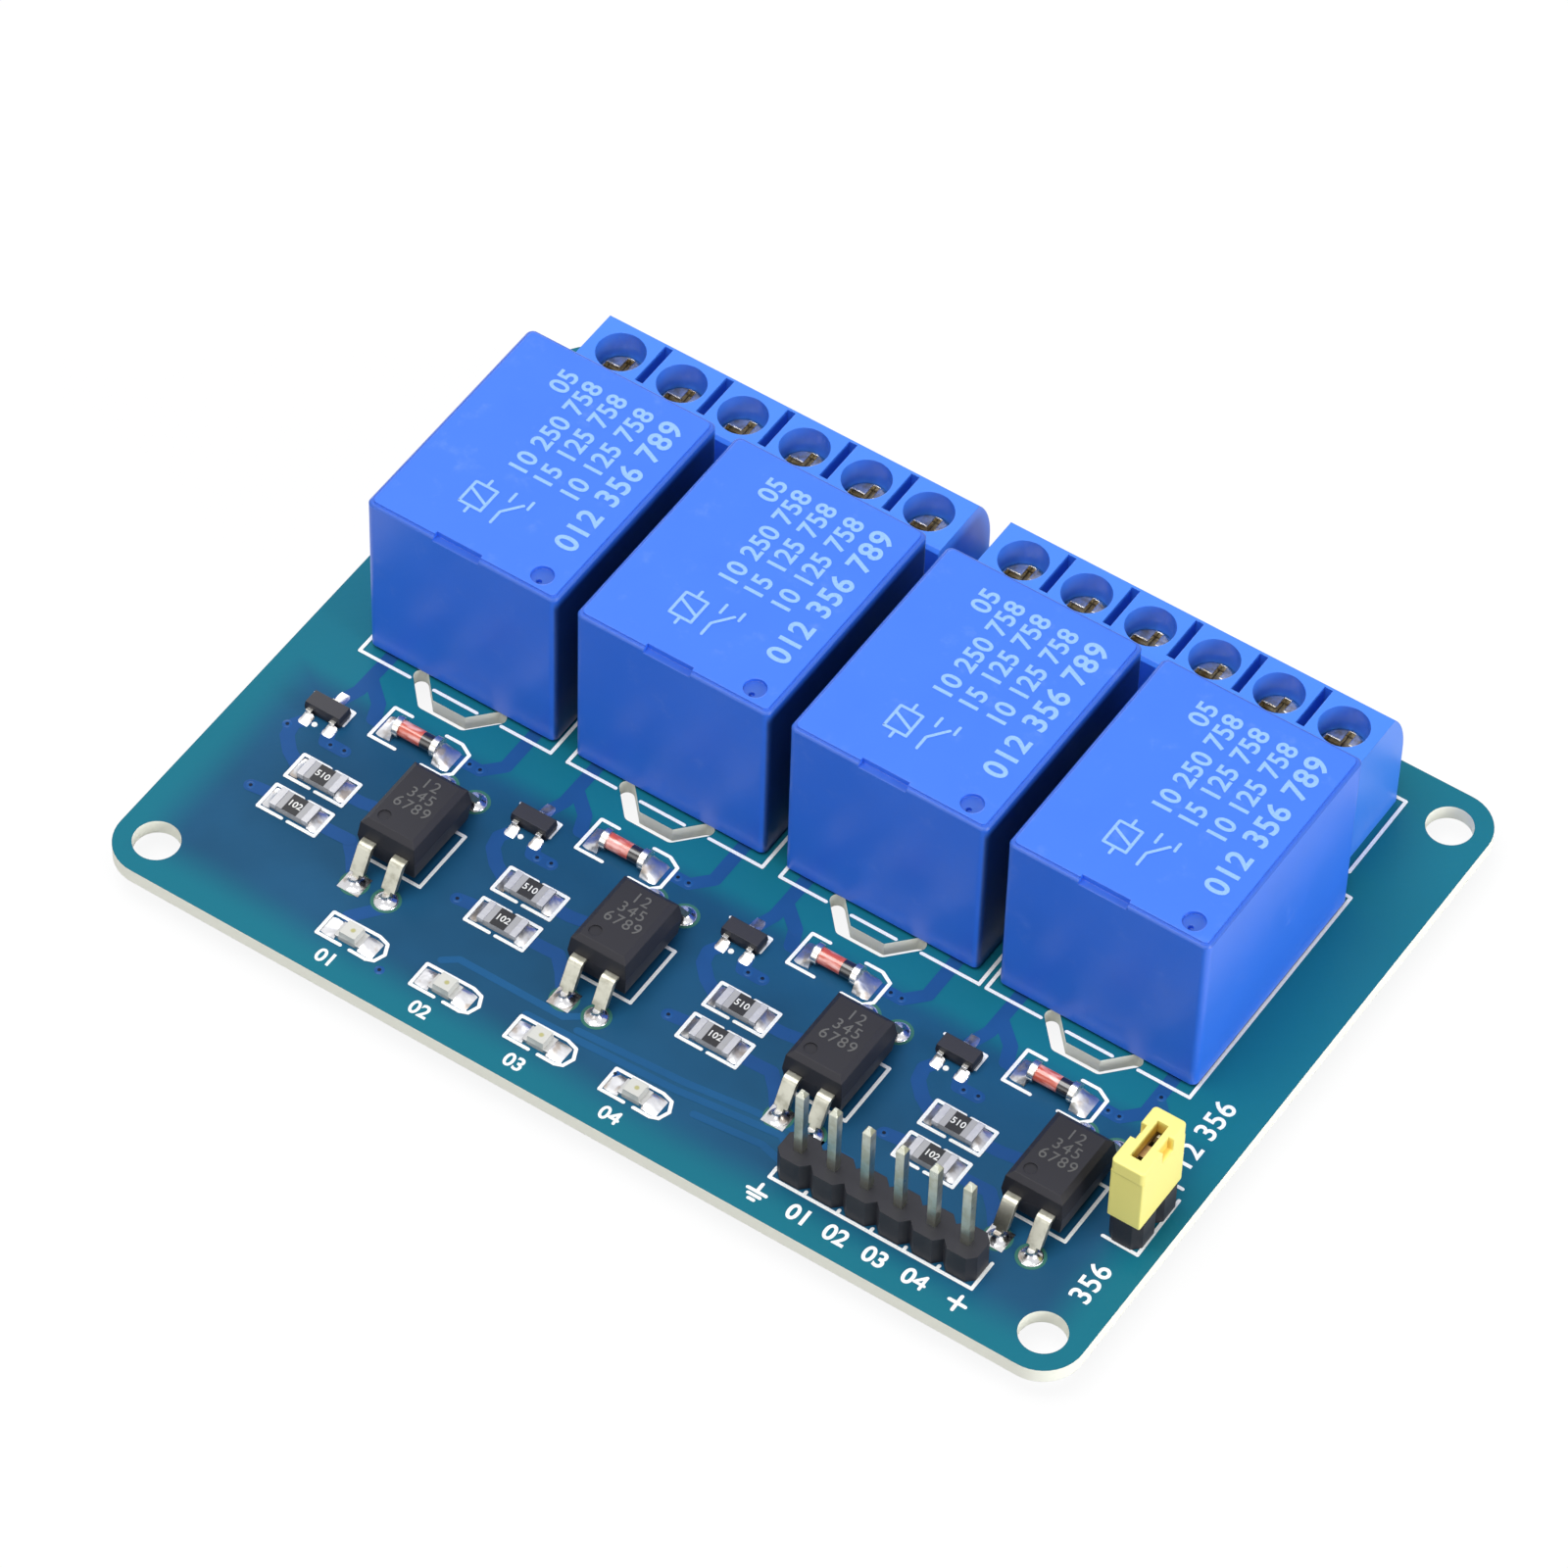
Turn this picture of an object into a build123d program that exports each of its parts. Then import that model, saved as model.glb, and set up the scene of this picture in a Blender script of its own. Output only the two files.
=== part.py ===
from build123d import *
import math
import os

# Four-channel relay module: a circuit board with four switching channels side by side.
# Millimetres. +X runs along the long side, +Y from the signal pins to the screw terminals,
# +Z up. X and Y are zero in the middle of the board, Z is zero at the tips of the longest
# pins under the board.
# In a channel, from front to rear: indicator, optocoupler, driver parts, relay, terminals.


# Circuit board
board_thickness = 1.2
board_corner_radius = 3.0
side_margin = 4.15
rear_margin = 3.23
mount_inset_x = 2.95
mount_inset_y = 3.0
mount_hole_radius = 1.65
tail_length = 2.0
pin_hole_clearance = 0.1
seat_gap = 0.05

# Channels
channel_count = 4
channel_gap = 1.6
channel_shift = -0.3

# Relay, sizes seen from outside
relay_width = 15.2
relay_depth = 19.0
relay_height = 14.8
relay_standoff = 0.3
relay_wall = 0.8
relay_corner_radius = 0.5
relay_edge_chamfer = 0.12
relay_step_width = 0.3
relay_step_height = 0.15
relay_notch_width = 3.65
relay_notch_depth = 0.55
relay_notch_height = 0.45
relay_notch_shift = -0.38
relay_vent_radius = 0.8
relay_vent_depth = 0.25
relay_vent_side_inset = 1.95
relay_vent_front_inset = 1.4
relay_vent_hole_radius = 0.2
relay_vent_hole_depth = 0.3
relay_foot_size = 1.4
relay_base_thickness = 1.7

# Relay, works inside the case
yoke_thickness = 1.2
yoke_front_room = 0.7
yoke_side_inset = 0.5
coil_side_room = 1.8
coil_yoke_gap = 0.5
flange_thickness = 0.8
flange_corner_radius = 1.0
winding_inset = 0.5
barrel_wall = 0.5
core_radius = 1.9
pole_radius = 2.6
pole_thickness = 0.5
armature_thickness = 1.2
armature_side_inset = 0.5
armature_overhang = 0.6
armature_angle = 3.0
blade_thickness = 0.25
blade_width = 3.0
contact_radius = 0.7
contact_height = 0.3
contact_arm_thickness = 0.4
contact_arm_width = 1.8
contact_headroom = 0.4
contact_rear_room = 1.9
side_pin_room = 0.8
coil_pin_setback = 2.0
coil_pin_radius = 0.35
coil_post_height = 1.5
blade_pin_width = 1.0
blade_pin_thickness = 0.4

# Screw terminals: modules of three ways, two modules in a group, two groups
way_pitch = 5.0
ways_per_module = 3
modules_per_group = 2
group_count = 2
group_gap = 2.5
terminal_shift = -0.5
terminal_height = 10.0
terminal_depth = 6.64
terminal_relay_gap = 2.43
terminal_lean = 1.59
terminal_lean_height = 4.5
terminal_edge_chamfer = 0.25
way_slot_width = 0.65
way_slot_depth = 3.4
way_slot_front_wall = 1.17
way_slot_rear_wall = 0.2
well_radius = 1.75
well_setback = 2.69
screw_sink = 2.0
screw_head_height = 1.6
screw_shank_radius = 1.3
screw_tip_reach = 1.0
screw_slot_width = 0.55
screw_slot_depth = 0.7
screw_slot_margin = 0.35
screw_rim_chamfer = 0.3
way_wall = 0.9
chamber_front_wall = 0.9
chamber_rear_wall = 0.9
chamber_head_gap = 0.4
terminal_floor = 1.4
entry_width = 3.2
entry_top_wall = 0.7
cage_wall = 0.5
cage_top_wall = 0.8
terminal_pin_radius = 0.5

# Optocouplers on wide formed leads
opto_width = 4.6
opto_depth = 6.5
opto_height = 4.2
opto_standoff = 0.9
opto_draft = 7.0
opto_chamfer = 0.35
opto_offset = 4.8
opto_relay_gap = 7.02
opto_lead_pitch = 2.54
opto_lead_span = 10.16
opto_lead_width = 0.5
opto_lead_thickness = 0.28
opto_lead_shoulder = 1.05
opto_shoulder_reach = 0.6
opto_shoulder_drop = 1.85
opto_bend_radius = 0.2
opto_tail_length = 1.2
opto_dot_radius = 0.45
opto_dot_depth = 0.12
opto_dot_inset = 0.95

# Small parts on the front half of the board, set back from the front face of the relays
transistor_offset = -6.35
transistor_setback = 6.5
transistor_width = 2.9
transistor_depth = 1.3
transistor_height = 1.05
transistor_lift = 0.1
transistor_draft = 7.0
transistor_lead_pitch = 1.9
transistor_lead_width = 0.42
transistor_lead_thickness = 0.14
transistor_lead_reach = 0.55
transistor_foot_length = 0.28
diode_offset = 0.1
diode_setback = 5.1
diode_length = 3.5
diode_radius = 0.75
diode_cap_length = 0.45
diode_glass_inset = 0.16
resistor_offset = -3.3
resistor_setbacks = (11.3, 14.4)
resistor_length = 3.1
resistor_depth = 1.55
resistor_height = 0.55
resistor_cap_length = 0.5
resistor_cap_proud = 0.03
led_pitch = 7.5
led_shift = -8.2
led_front_inset = 3.75
led_length = 2.0
led_depth = 1.25
led_height = 0.85
led_base_height = 0.35
led_cap_length = 0.35
led_lens_draft = 5.0

# Isolation slots in front of the relays, one per channel
slot_width = 1.05
slot_half_span = 3.2
slot_half_floor = 1.55
slot_end_setback = 0.2
slot_floor_setback = 2.0

# Signal header
header_ways = 6
header_pitch = 2.54
header_depth = 2.5
header_body_height = 2.5
header_tip_height = 8.6
header_pin_size = 0.64
header_point = 0.4
header_segment_chamfer = 0.55
header_tail_length = 1.5
header_front_inset = 4.67
header_opto_gap = 2.85
header_right_inset = 9.89

# Supply jumper: two pins, and the cap that bridges them
jumper_ways = 2
jumper_right_inset = 2.55
jumper_front_inset = 14.07
jumper_tip_height = 7.4
cap_width = 2.45
cap_length = 5.1
cap_height = 5.8
cap_head_height = 1.15
cap_head_overhang = 0.05
cap_waist_length = 1.3
cap_waist_shift = 0.33
cap_waist_inset = 0.42
cap_end_wall = 0.55
cap_slot_width = 0.8
cap_slot_end_wall = 0.95
cap_edge_radius = 0.12
cap_corner_radius = 0.3
contact_strip_thickness = 0.2
contact_strip_bottom = 0.5
contact_strip_headroom = 0.15
contact_bridge_length = 1.0
contact_bridge_height = 0.4

# Places that follow from the sizes above
channel_pitch = relay_width + channel_gap
board_length = channel_count * channel_pitch + 2 * side_margin
front_area_depth = header_front_inset + header_opto_gap + opto_lead_span + opto_relay_gap
board_width = front_area_depth + relay_depth + terminal_relay_gap + terminal_depth + rear_margin
board_bottom = tail_length
board_top = board_bottom + board_thickness
front_edge_y = -board_width / 2
right_edge_x = board_length / 2
relay_front_y = front_edge_y + front_area_depth
relay_y = relay_front_y + relay_depth / 2
terminal_front_y = relay_front_y + relay_depth + terminal_relay_gap
terminal_rear_y = terminal_front_y + terminal_depth
well_y = terminal_front_y + well_setback
opto_y = relay_front_y - opto_relay_gap - opto_lead_span / 2
header_y = front_edge_y + header_front_inset
header_x = right_edge_x - header_right_inset - (header_ways - 1) * header_pitch / 2
jumper_x = right_edge_x - jumper_right_inset
jumper_y = front_edge_y + jumper_front_inset
led_y = front_edge_y + led_front_inset
chamber_height = terminal_height - screw_sink - screw_head_height - chamber_head_gap - terminal_floor
module_length = ways_per_module * way_pitch
group_length = modules_per_group * module_length

# Inner space of the relay case, measured from the middle of the relay and the board's top
cavity_width = relay_width - 2 * relay_wall
cavity_depth = relay_depth - 2 * relay_wall
cavity_top = relay_height - relay_wall
base_top = relay_standoff + relay_base_thickness
yoke_front = -cavity_depth / 2 + yoke_front_room
pivot_y = yoke_front + yoke_thickness / 2
flange_size = cavity_width - 2 * coil_side_room
coil_y = yoke_front + yoke_thickness + coil_yoke_gap + flange_size / 2
yoke_width = flange_size - 2 * yoke_side_inset
contact_y = cavity_depth / 2 - contact_rear_room
contact_pin_x = cavity_width / 2 - side_pin_room
coil_pin_y = pivot_y + coil_pin_setback
upper_arm_top = cavity_top - contact_headroom
blade_top = upper_arm_top - contact_arm_thickness - 2 * contact_height - seat_gap
armature_top = blade_top - blade_thickness
pivot_z = armature_top - armature_thickness
travel_sine = math.sin(math.radians(armature_angle))
pole_lever = coil_y + pole_radius - pivot_y
contact_lever = contact_y + contact_radius - pivot_y
pole_top = pivot_z - pole_lever * travel_sine - seat_gap
bobbin_bottom = base_top + yoke_thickness
bobbin_top = pole_top - pole_thickness
contact_drop = contact_lever * travel_sine
lower_arm_top = armature_top - 2 * contact_height - contact_drop - seat_gap


def spread(count, pitch, middle=0.0):
    """Centres of a row of equal parts, in order, about its middle."""
    return [middle + (i - (count - 1) / 2) * pitch for i in range(count)]


def block(x_span, y_span, z_span):
    """A box given by its low and high sides along each axis."""
    size = [high - low for low, high in (x_span, y_span, z_span)]
    middle = [(high + low) / 2 for low, high in (x_span, y_span, z_span)]
    return Pos(*middle) * Box(*size)


def around(middle, size):
    """Low and high side of a span of the given size about its middle."""
    return middle - size / 2, middle + size / 2


def post(x, y, z_span, radius):
    """A round post, or the cutter of a round hole."""
    low, high = z_span
    return Pos(x, y, low) * Cylinder(radius, high - low, align=(Align.CENTER, Align.CENTER, Align.MIN))


def side_profile(points, width):
    """A shape drawn as (y, z) points and extruded to a width centred on x = 0."""
    face = make_face(Polyline(*[(0, y, z) for y, z in points], close=True).edges())
    return extrude(face, width / 2, dir=(1, 0, 0), both=True)


def save(shape, name):
    """Write one sub-part as parts/NAME.step."""
    shape.label = name
    export_step(shape, os.path.join("parts", name + ".step"))


channel_xs = spread(channel_count, channel_pitch, channel_shift)
led_xs = spread(channel_count, led_pitch, led_shift)
header_xs = spread(header_ways, header_pitch, header_x)
jumper_ys = spread(jumper_ways, header_pitch, jumper_y)
group_xs = spread(group_count, group_length + group_gap, terminal_shift)
module_xs = [x for g in group_xs for x in spread(modules_per_group, module_length, g)]
way_xs = spread(ways_per_module, way_pitch)
opto_pin_xs = spread(2, opto_lead_pitch)

# Radii of the board's pin holes, from the pins that pass them
blade_hole_radius = math.hypot(blade_pin_width, blade_pin_thickness) / 2 + pin_hole_clearance
coil_hole_radius = coil_pin_radius + pin_hole_clearance
terminal_hole_radius = terminal_pin_radius + pin_hole_clearance
header_hole_radius = header_pin_size / math.sqrt(2) + pin_hole_clearance
opto_hole_radius = math.hypot(opto_lead_width, opto_lead_thickness) / 2 + pin_hole_clearance


def isolation_slot():
    """Milled slot that drops from the relay's front, runs along it and climbs back."""
    points = [
        (-slot_half_span, -slot_end_setback),
        (-slot_half_floor, -slot_floor_setback),
        (slot_half_floor, -slot_floor_setback),
        (slot_half_span, -slot_end_setback),
    ]
    slot = Sketch()
    for (x0, y0), (x1, y1) in zip(points, points[1:]):
        run = math.dist((x0, y0), (x1, y1))
        turn = math.degrees(math.atan2(y1 - y0, x1 - x0))
        slot += Pos((x0 + x1) / 2, (y0 + y1) / 2) * Rot(0, 0, turn) * SlotCenterToCenter(run, slot_width)
    return slot


def circuit_board():
    """The bare board with its mounting holes, pin holes and isolation slots."""
    outline = RectangleRounded(board_length, board_width, board_corner_radius)
    mount_spacing = (board_length - 2 * mount_inset_x, board_width - 2 * mount_inset_y)
    holes = [loc * Circle(mount_hole_radius) for loc in GridLocations(*mount_spacing, 2, 2)]
    for x in channel_xs:
        holes.append(Pos(x, relay_front_y) * isolation_slot())
        holes.append(Pos(x, relay_y + pivot_y) * Circle(blade_hole_radius))
        for side in (-1, 1):
            pin_x = x + side * contact_pin_x
            holes.append(Pos(pin_x, relay_y + coil_pin_y) * Circle(coil_hole_radius))
            holes.append(Pos(pin_x, relay_y + contact_y) * Circle(blade_hole_radius))
            for lead_x in opto_pin_xs:
                lead_y = opto_y + side * opto_lead_span / 2
                holes.append(Pos(x + opto_offset + lead_x, lead_y) * Circle(opto_hole_radius))
    for x in module_xs:
        holes += [Pos(x + way_x, well_y) * Circle(terminal_hole_radius) for way_x in way_xs]
    holes += [Pos(x, header_y) * Circle(header_hole_radius) for x in header_xs]
    holes += [Pos(jumper_x, y) * Circle(header_hole_radius) for y in jumper_ys]
    return Pos(0, 0, board_bottom) * extrude(outline - holes, board_thickness)


# Relay pieces stand about the relay's middle, with the board's top at zero

def relay_case():
    """Moulded cover: stepped top edge, finger notch at the front, closed vent dimple."""
    step_z = relay_height - relay_step_height
    body = extrude(RectangleRounded(relay_width, relay_depth, relay_corner_radius), step_z - relay_standoff)
    body = Pos(0, 0, relay_standoff) * body
    inset = 2 * relay_step_width
    panel_radius = relay_corner_radius - relay_step_width / 2
    panel = RectangleRounded(relay_width - inset, relay_depth - inset, panel_radius)
    body += Pos(0, 0, step_z) * extrude(panel, relay_step_height)
    step_edges = body.edges().filter_by_position(Axis.Z, step_z, step_z)
    limit_x = (relay_width - relay_step_width) / 2
    limit_y = (relay_depth - relay_step_width) / 2
    outer = [e for e in step_edges if abs(e.center().X) > limit_x or abs(e.center().Y) > limit_y]
    body = chamfer(outer, min(relay_edge_chamfer, relay_step_width / 2))
    body -= block(around(0, cavity_width), around(0, cavity_depth), (0, cavity_top))
    body -= block(
        around(relay_notch_shift, relay_notch_width),
        (-relay_depth, -relay_depth / 2 + relay_notch_depth),
        (relay_height - relay_notch_height, 2 * relay_height),
    )
    vent_x = relay_width / 2 - relay_vent_side_inset
    vent_y = -relay_depth / 2 + relay_vent_front_inset
    vent_floor = relay_height - relay_vent_depth
    body -= post(vent_x, vent_y, (vent_floor, 2 * relay_height), relay_vent_radius)
    hole_y = vent_y - relay_vent_radius / 2
    hole_span = (vent_floor - relay_vent_hole_depth, relay_height)
    return body - post(vent_x, hole_y, hole_span, relay_vent_hole_radius)


def blade_pin(x, y, top):
    """Flat pin from under the board up to the given height."""
    span = (-board_top, top)
    return block(around(x, blade_pin_width), around(y, blade_pin_thickness), span)


def contact_pin(side, arm_top, contact_up):
    """Fixed contact: pin at the side of the case, arm to its middle, contact button on it."""
    pin = blade_pin(side * contact_pin_x, contact_y, arm_top)
    arm_x = (-contact_radius, contact_pin_x + blade_pin_width / 2)
    if side < 0:
        arm_x = (-arm_x[1], -arm_x[0])
    arm_z = (arm_top - contact_arm_thickness, arm_top)
    arm = block(arm_x, around(contact_y, contact_arm_width), arm_z)
    button_bottom = arm_z[1] if contact_up else arm_z[0] - contact_height
    button = post(0, contact_y, (button_bottom, button_bottom + contact_height), contact_radius)
    return pin + arm + button


def relay_pins():
    """Two coil pins, the common pin under the yoke and the two fixed contacts."""
    common = blade_pin(0, pivot_y, base_top)
    coil_span = (-board_top, base_top + coil_post_height)
    coil = [post(side * contact_pin_x, coil_pin_y, coil_span, coil_pin_radius) for side in (-1, 1)]
    rest_contact = contact_pin(-1, upper_arm_top, False)
    work_contact = contact_pin(1, lower_arm_top, True)
    return Compound(children=[common, *coil, rest_contact, work_contact])


def relay_base():
    """Floor of the relay, on four feet, moulded round the pins."""
    clear = 2 * seat_gap
    base_x = around(0, cavity_width - clear)
    base_y = around(0, cavity_depth - clear)
    base = block(base_x, base_y, (relay_standoff, base_top))
    for x in base_x:
        for y in base_y:
            foot_x = sorted((x, x - math.copysign(relay_foot_size, x)))
            foot_y = sorted((y, y - math.copysign(relay_foot_size, y)))
            base += block(foot_x, foot_y, (0, relay_standoff))
    return base - relay_pins()


def relay_coil():
    """Bobbin on the core, and the winding between its flanges."""
    bore = core_radius + seat_gap
    barrel = bore + barrel_wall
    bobbin = post(0, coil_y, (bobbin_bottom, bobbin_top), barrel)
    flange = extrude(RectangleRounded(flange_size, flange_size, flange_corner_radius), flange_thickness)
    for z in (bobbin_bottom, bobbin_top - flange_thickness):
        bobbin += Pos(0, coil_y, z) * flange
    bobbin -= post(0, coil_y, (0, relay_height), bore)
    low = bobbin_bottom + flange_thickness + seat_gap
    high = bobbin_top - flange_thickness - seat_gap
    winding = post(0, coil_y, (low, high), flange_size / 2 - winding_inset)
    winding -= post(0, coil_y, (low, high), barrel + seat_gap)
    return Compound(children=[bobbin, winding])


def relay_yoke():
    """L-shaped steel yoke with a rounded top edge, and the core staked into its foot."""
    leg = block(around(0, yoke_width), (yoke_front, yoke_front + yoke_thickness), (base_top, pivot_z))
    edge = Pos(0, pivot_y, pivot_z) * Rot(0, 90, 0) * Cylinder(yoke_thickness / 2, yoke_width)
    foot_y = (yoke_front, coil_y + pole_radius)
    foot = block(around(0, yoke_width), foot_y, (base_top, bobbin_bottom))
    core = post(0, coil_y, (base_top, pole_top), core_radius)
    pole = post(0, coil_y, (bobbin_top, pole_top), pole_radius)
    return leg + edge + foot + core + pole


def relay_armature():
    """Rocking armature with its spring blade and the moving contact."""
    groove = yoke_thickness / 2 + seat_gap
    front = pivot_y - groove - seat_gap
    rear = coil_y + pole_radius + armature_overhang
    width = yoke_width - 2 * armature_side_inset
    plate = block(around(0, width), (front, rear), (pivot_z, armature_top))
    plate -= Pos(0, pivot_y, pivot_z) * Rot(0, 90, 0) * Cylinder(groove, yoke_width)
    blade_y = (pivot_y + groove, contact_y + contact_radius)
    blade = block(around(0, blade_width), blade_y, (armature_top, blade_top))
    button = (armature_top - contact_height, blade_top + contact_height)
    return plate + blade + post(0, contact_y, button, contact_radius)


# Terminal pieces stand about the middle of a module, with the board's top at zero

clamp_z = (terminal_floor + seat_gap, terminal_floor + chamber_height - seat_gap)


def terminal_housing(joined_side):
    """Moulded body of three ways, with half a slot on the side that meets the next module."""
    rear_top = terminal_rear_y - terminal_lean
    lean_z = terminal_height - terminal_lean_height
    back = TangentArc((0, terminal_rear_y, lean_z), (0, rear_top, terminal_height), tangent=(0, 0, 1))
    outline = Polyline(
        (0, rear_top, terminal_height),
        (0, terminal_front_y + terminal_edge_chamfer, terminal_height),
        (0, terminal_front_y, terminal_height - terminal_edge_chamfer),
        (0, terminal_front_y, 0),
        (0, terminal_rear_y, 0),
        (0, terminal_rear_y, lean_z),
    )
    body = extrude(make_face([back, *outline.edges()]), module_length / 2, dir=(1, 0, 0), both=True)
    slot_y = (terminal_front_y + way_slot_front_wall, rear_top - way_slot_rear_wall)
    slot_z = (terminal_height - way_slot_depth, 2 * terminal_height)
    for x in spread(ways_per_module - 1, way_pitch) + [joined_side * module_length / 2]:
        body -= block(around(x, way_slot_width), slot_y, slot_z)
    chamber_y = (terminal_front_y + chamber_front_wall, terminal_rear_y - chamber_rear_wall)
    chamber_z = (terminal_floor, terminal_floor + chamber_height)
    entry_y = (terminal_rear_y - 2 * chamber_rear_wall, terminal_rear_y + terminal_depth)
    entry_z = (terminal_floor + cage_wall, chamber_z[1] - entry_top_wall)
    for x in way_xs:
        body -= post(x, well_y, (terminal_floor + cage_wall, 2 * terminal_height), well_radius)
        body -= block(around(x, way_pitch - way_wall), chamber_y, chamber_z)
        body -= block(around(x, entry_width), entry_y, entry_z)
        body -= post(x, well_y, (-seat_gap, terminal_floor), terminal_pin_radius + seat_gap)
    return body


def terminal_clamps():
    """Brass cage of each way, tapped for the screw, with its pin through the board."""
    cage_x = way_pitch - way_wall - 2 * seat_gap
    cage_y = (
        terminal_front_y + chamber_front_wall + seat_gap,
        terminal_rear_y - chamber_rear_wall - seat_gap,
    )
    room_z = (clamp_z[0] + cage_wall, clamp_z[1] - cage_top_wall)
    cages = []
    for x in way_xs:
        cage = block(around(x, cage_x), cage_y, clamp_z)
        cage -= block(around(x, cage_x - 2 * cage_wall), (0, 2 * terminal_rear_y), room_z)
        cage -= post(x, well_y, (room_z[1], 2 * terminal_height), screw_shank_radius + seat_gap)
        cages.append(cage + post(x, well_y, (-board_top, room_z[0]), terminal_pin_radius))
    return Compound(children=cages)


def terminal_screw():
    """Cheese-head clamp screw about the middle of its way, with a cross slot in the head."""
    head_top = terminal_height - screw_sink
    head_radius = well_radius - seat_gap
    tip = clamp_z[1] - cage_top_wall - screw_tip_reach
    head = post(0, well_y, (head_top - screw_head_height, head_top), head_radius)
    screw = chamfer(head.edges().sort_by(Axis.Z)[-1], screw_rim_chamfer)
    screw += post(0, well_y, (tip, head_top - screw_head_height), screw_shank_radius)
    slot_z = (head_top - screw_slot_depth, head_top + screw_slot_depth)
    long_span = 2 * (head_radius - screw_slot_margin)
    for x_size, y_size in ((long_span, screw_slot_width), (screw_slot_width, long_span)):
        screw -= block(around(0, x_size), around(well_y, y_size), slot_z)
    return screw


# Optocoupler pieces stand about the middle of the body, with the board's top at zero

opto_parting = (opto_standoff + opto_height) / 2


def optocoupler():
    """Moulded body with draft both ways from its parting line, and the dot at pin one."""
    outline = Rectangle(opto_width, opto_depth)
    upper = extrude(outline, opto_height - opto_parting, taper=opto_draft)
    lower = mirror(extrude(outline, opto_parting - opto_standoff, taper=opto_draft), Plane.XY)
    top_edges = upper.faces().sort_by(Axis.Z)[-1].edges()
    body = Pos(0, 0, opto_parting) * (chamfer(top_edges, opto_chamfer) + lower)
    dot_x = -opto_width / 2 + opto_dot_inset + opto_chamfer
    dot_y = -opto_depth / 2 + opto_dot_inset + opto_chamfer
    dot_z = (opto_height - opto_dot_depth, 2 * opto_height)
    return body - post(dot_x, dot_y, dot_z, opto_dot_radius)


def optocoupler_lead(side, x):
    """One lead: wide where it leaves the body and bends down, then a narrow leg out to its pad."""
    thick = opto_lead_thickness
    start = opto_depth / 2
    bend = start + opto_shoulder_reach
    pad = opto_lead_span / 2
    top = opto_parting + thick / 2
    tail = -board_thickness - opto_tail_length
    points = [
        (start, top),
        (bend, top),
        (pad + thick / 2, thick),
        (pad + thick / 2, tail),
        (pad - thick / 2, tail),
        (pad - thick / 2, 0),
        (bend - thick, top - thick),
        (start, top - thick),
    ]
    strip = side_profile(points, opto_lead_shoulder)
    corners = (
        (bend, top, opto_bend_radius + thick),
        (bend - thick, top - thick, opto_bend_radius),
    )
    for y, z, radius in corners:
        corner = strip.edges().filter_by(Axis.X).sort_by_distance((0, y, z))[0]
        strip = fillet(corner, radius)
    reach = (0, opto_lead_span)
    shoulder = strip & block(around(0, opto_lead_shoulder), reach, (top - opto_shoulder_drop, top))
    leg = strip & block(around(0, opto_lead_width), reach, (tail, top))
    lead = shoulder + leg
    return Pos(x, 0, 0) * (lead if side > 0 else mirror(lead, Plane.XZ))


def optocoupler_leads():
    """The leads of every optocoupler, in place."""
    leads = [optocoupler_lead(side, x) for side in (-1, 1) for x in opto_pin_xs]
    places = [Pos(x + opto_offset, opto_y, board_top) for x in channel_xs]
    return Compound(children=[place * lead for place in places for lead in leads])


# Small parts on the board's face, each about its own middle with the board's top at zero

def transistor():
    """Moulded three-lead part: one lead behind, two in front."""
    middle = (transistor_height + transistor_lift) / 2
    outline = Rectangle(transistor_width, transistor_depth)
    upper = extrude(outline, transistor_height - middle, taper=transistor_draft)
    lower = mirror(extrude(outline, middle - transistor_lift, taper=transistor_draft), Plane.XY)
    body = Pos(0, 0, middle) * (upper + lower)
    thick = transistor_lead_thickness
    inner = transistor_depth / 2 - thick
    bend = transistor_depth / 2 + transistor_lead_reach - transistor_foot_length
    tip = bend + transistor_foot_length
    points = [
        (inner, middle + thick / 2), (bend, middle + thick / 2), (bend, thick), (tip, thick),
        (tip, 0), (bend - thick, 0), (bend - thick, middle - thick / 2), (inner, middle - thick / 2),
    ]
    lead = side_profile(points, transistor_lead_width)
    front = mirror(lead, Plane.XZ)
    for x in spread(2, transistor_lead_pitch):
        body += Pos(x, 0, 0) * front
    return body + lead


def diode():
    """Round glass diode lying along X between two metal caps."""
    radius = diode_radius
    glass = Cylinder(radius - diode_glass_inset, diode_length - diode_cap_length)
    for x in spread(2, diode_length - diode_cap_length):
        glass += Pos(0, 0, x) * Cylinder(radius, diode_cap_length)
    return Pos(0, 0, radius) * Rot(0, 90, 0) * glass


def resistor():
    """Chip resistor: a flat body with caps that stand a little proud."""
    body = block(around(0, resistor_length), around(0, resistor_depth), (0, resistor_height))
    proud = resistor_cap_proud
    for x in spread(2, resistor_length - resistor_cap_length):
        cap_x = around(x, resistor_cap_length)
        cap_y = around(0, resistor_depth + 2 * proud)
        body += block(cap_x, cap_y, (0, resistor_height + proud))
    return body


def indicator_led():
    """Chip indicator: carrier with end caps and a narrower moulded lens."""
    carrier = block(around(0, led_length), around(0, led_depth), (0, led_base_height))
    lens_outline = Rectangle(led_length - 2 * led_cap_length, led_depth)
    lens = extrude(lens_outline, led_height - led_base_height, taper=led_lens_draft)
    return carrier + Pos(0, 0, led_base_height) * lens


# Pin headers, about the middle of the row, with the board's top at zero and ways along X

def header_pin(tip_height):
    """Square pin, pointed at both ends."""
    flat = header_pin_size - header_point
    shaft = Rectangle(header_pin_size, header_pin_size)
    shaft_low = -board_thickness - header_tail_length + header_point
    shaft_high = tip_height - header_point
    draft = math.degrees(math.atan((header_pin_size - flat) / 2 / header_point))
    point = extrude(shaft, header_point, taper=draft)
    body = extrude(shaft, shaft_high - shaft_low)
    lower = Pos(0, 0, shaft_low) * (body + mirror(point, Plane.XY))
    return lower + Pos(0, 0, shaft_high) * point


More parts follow.
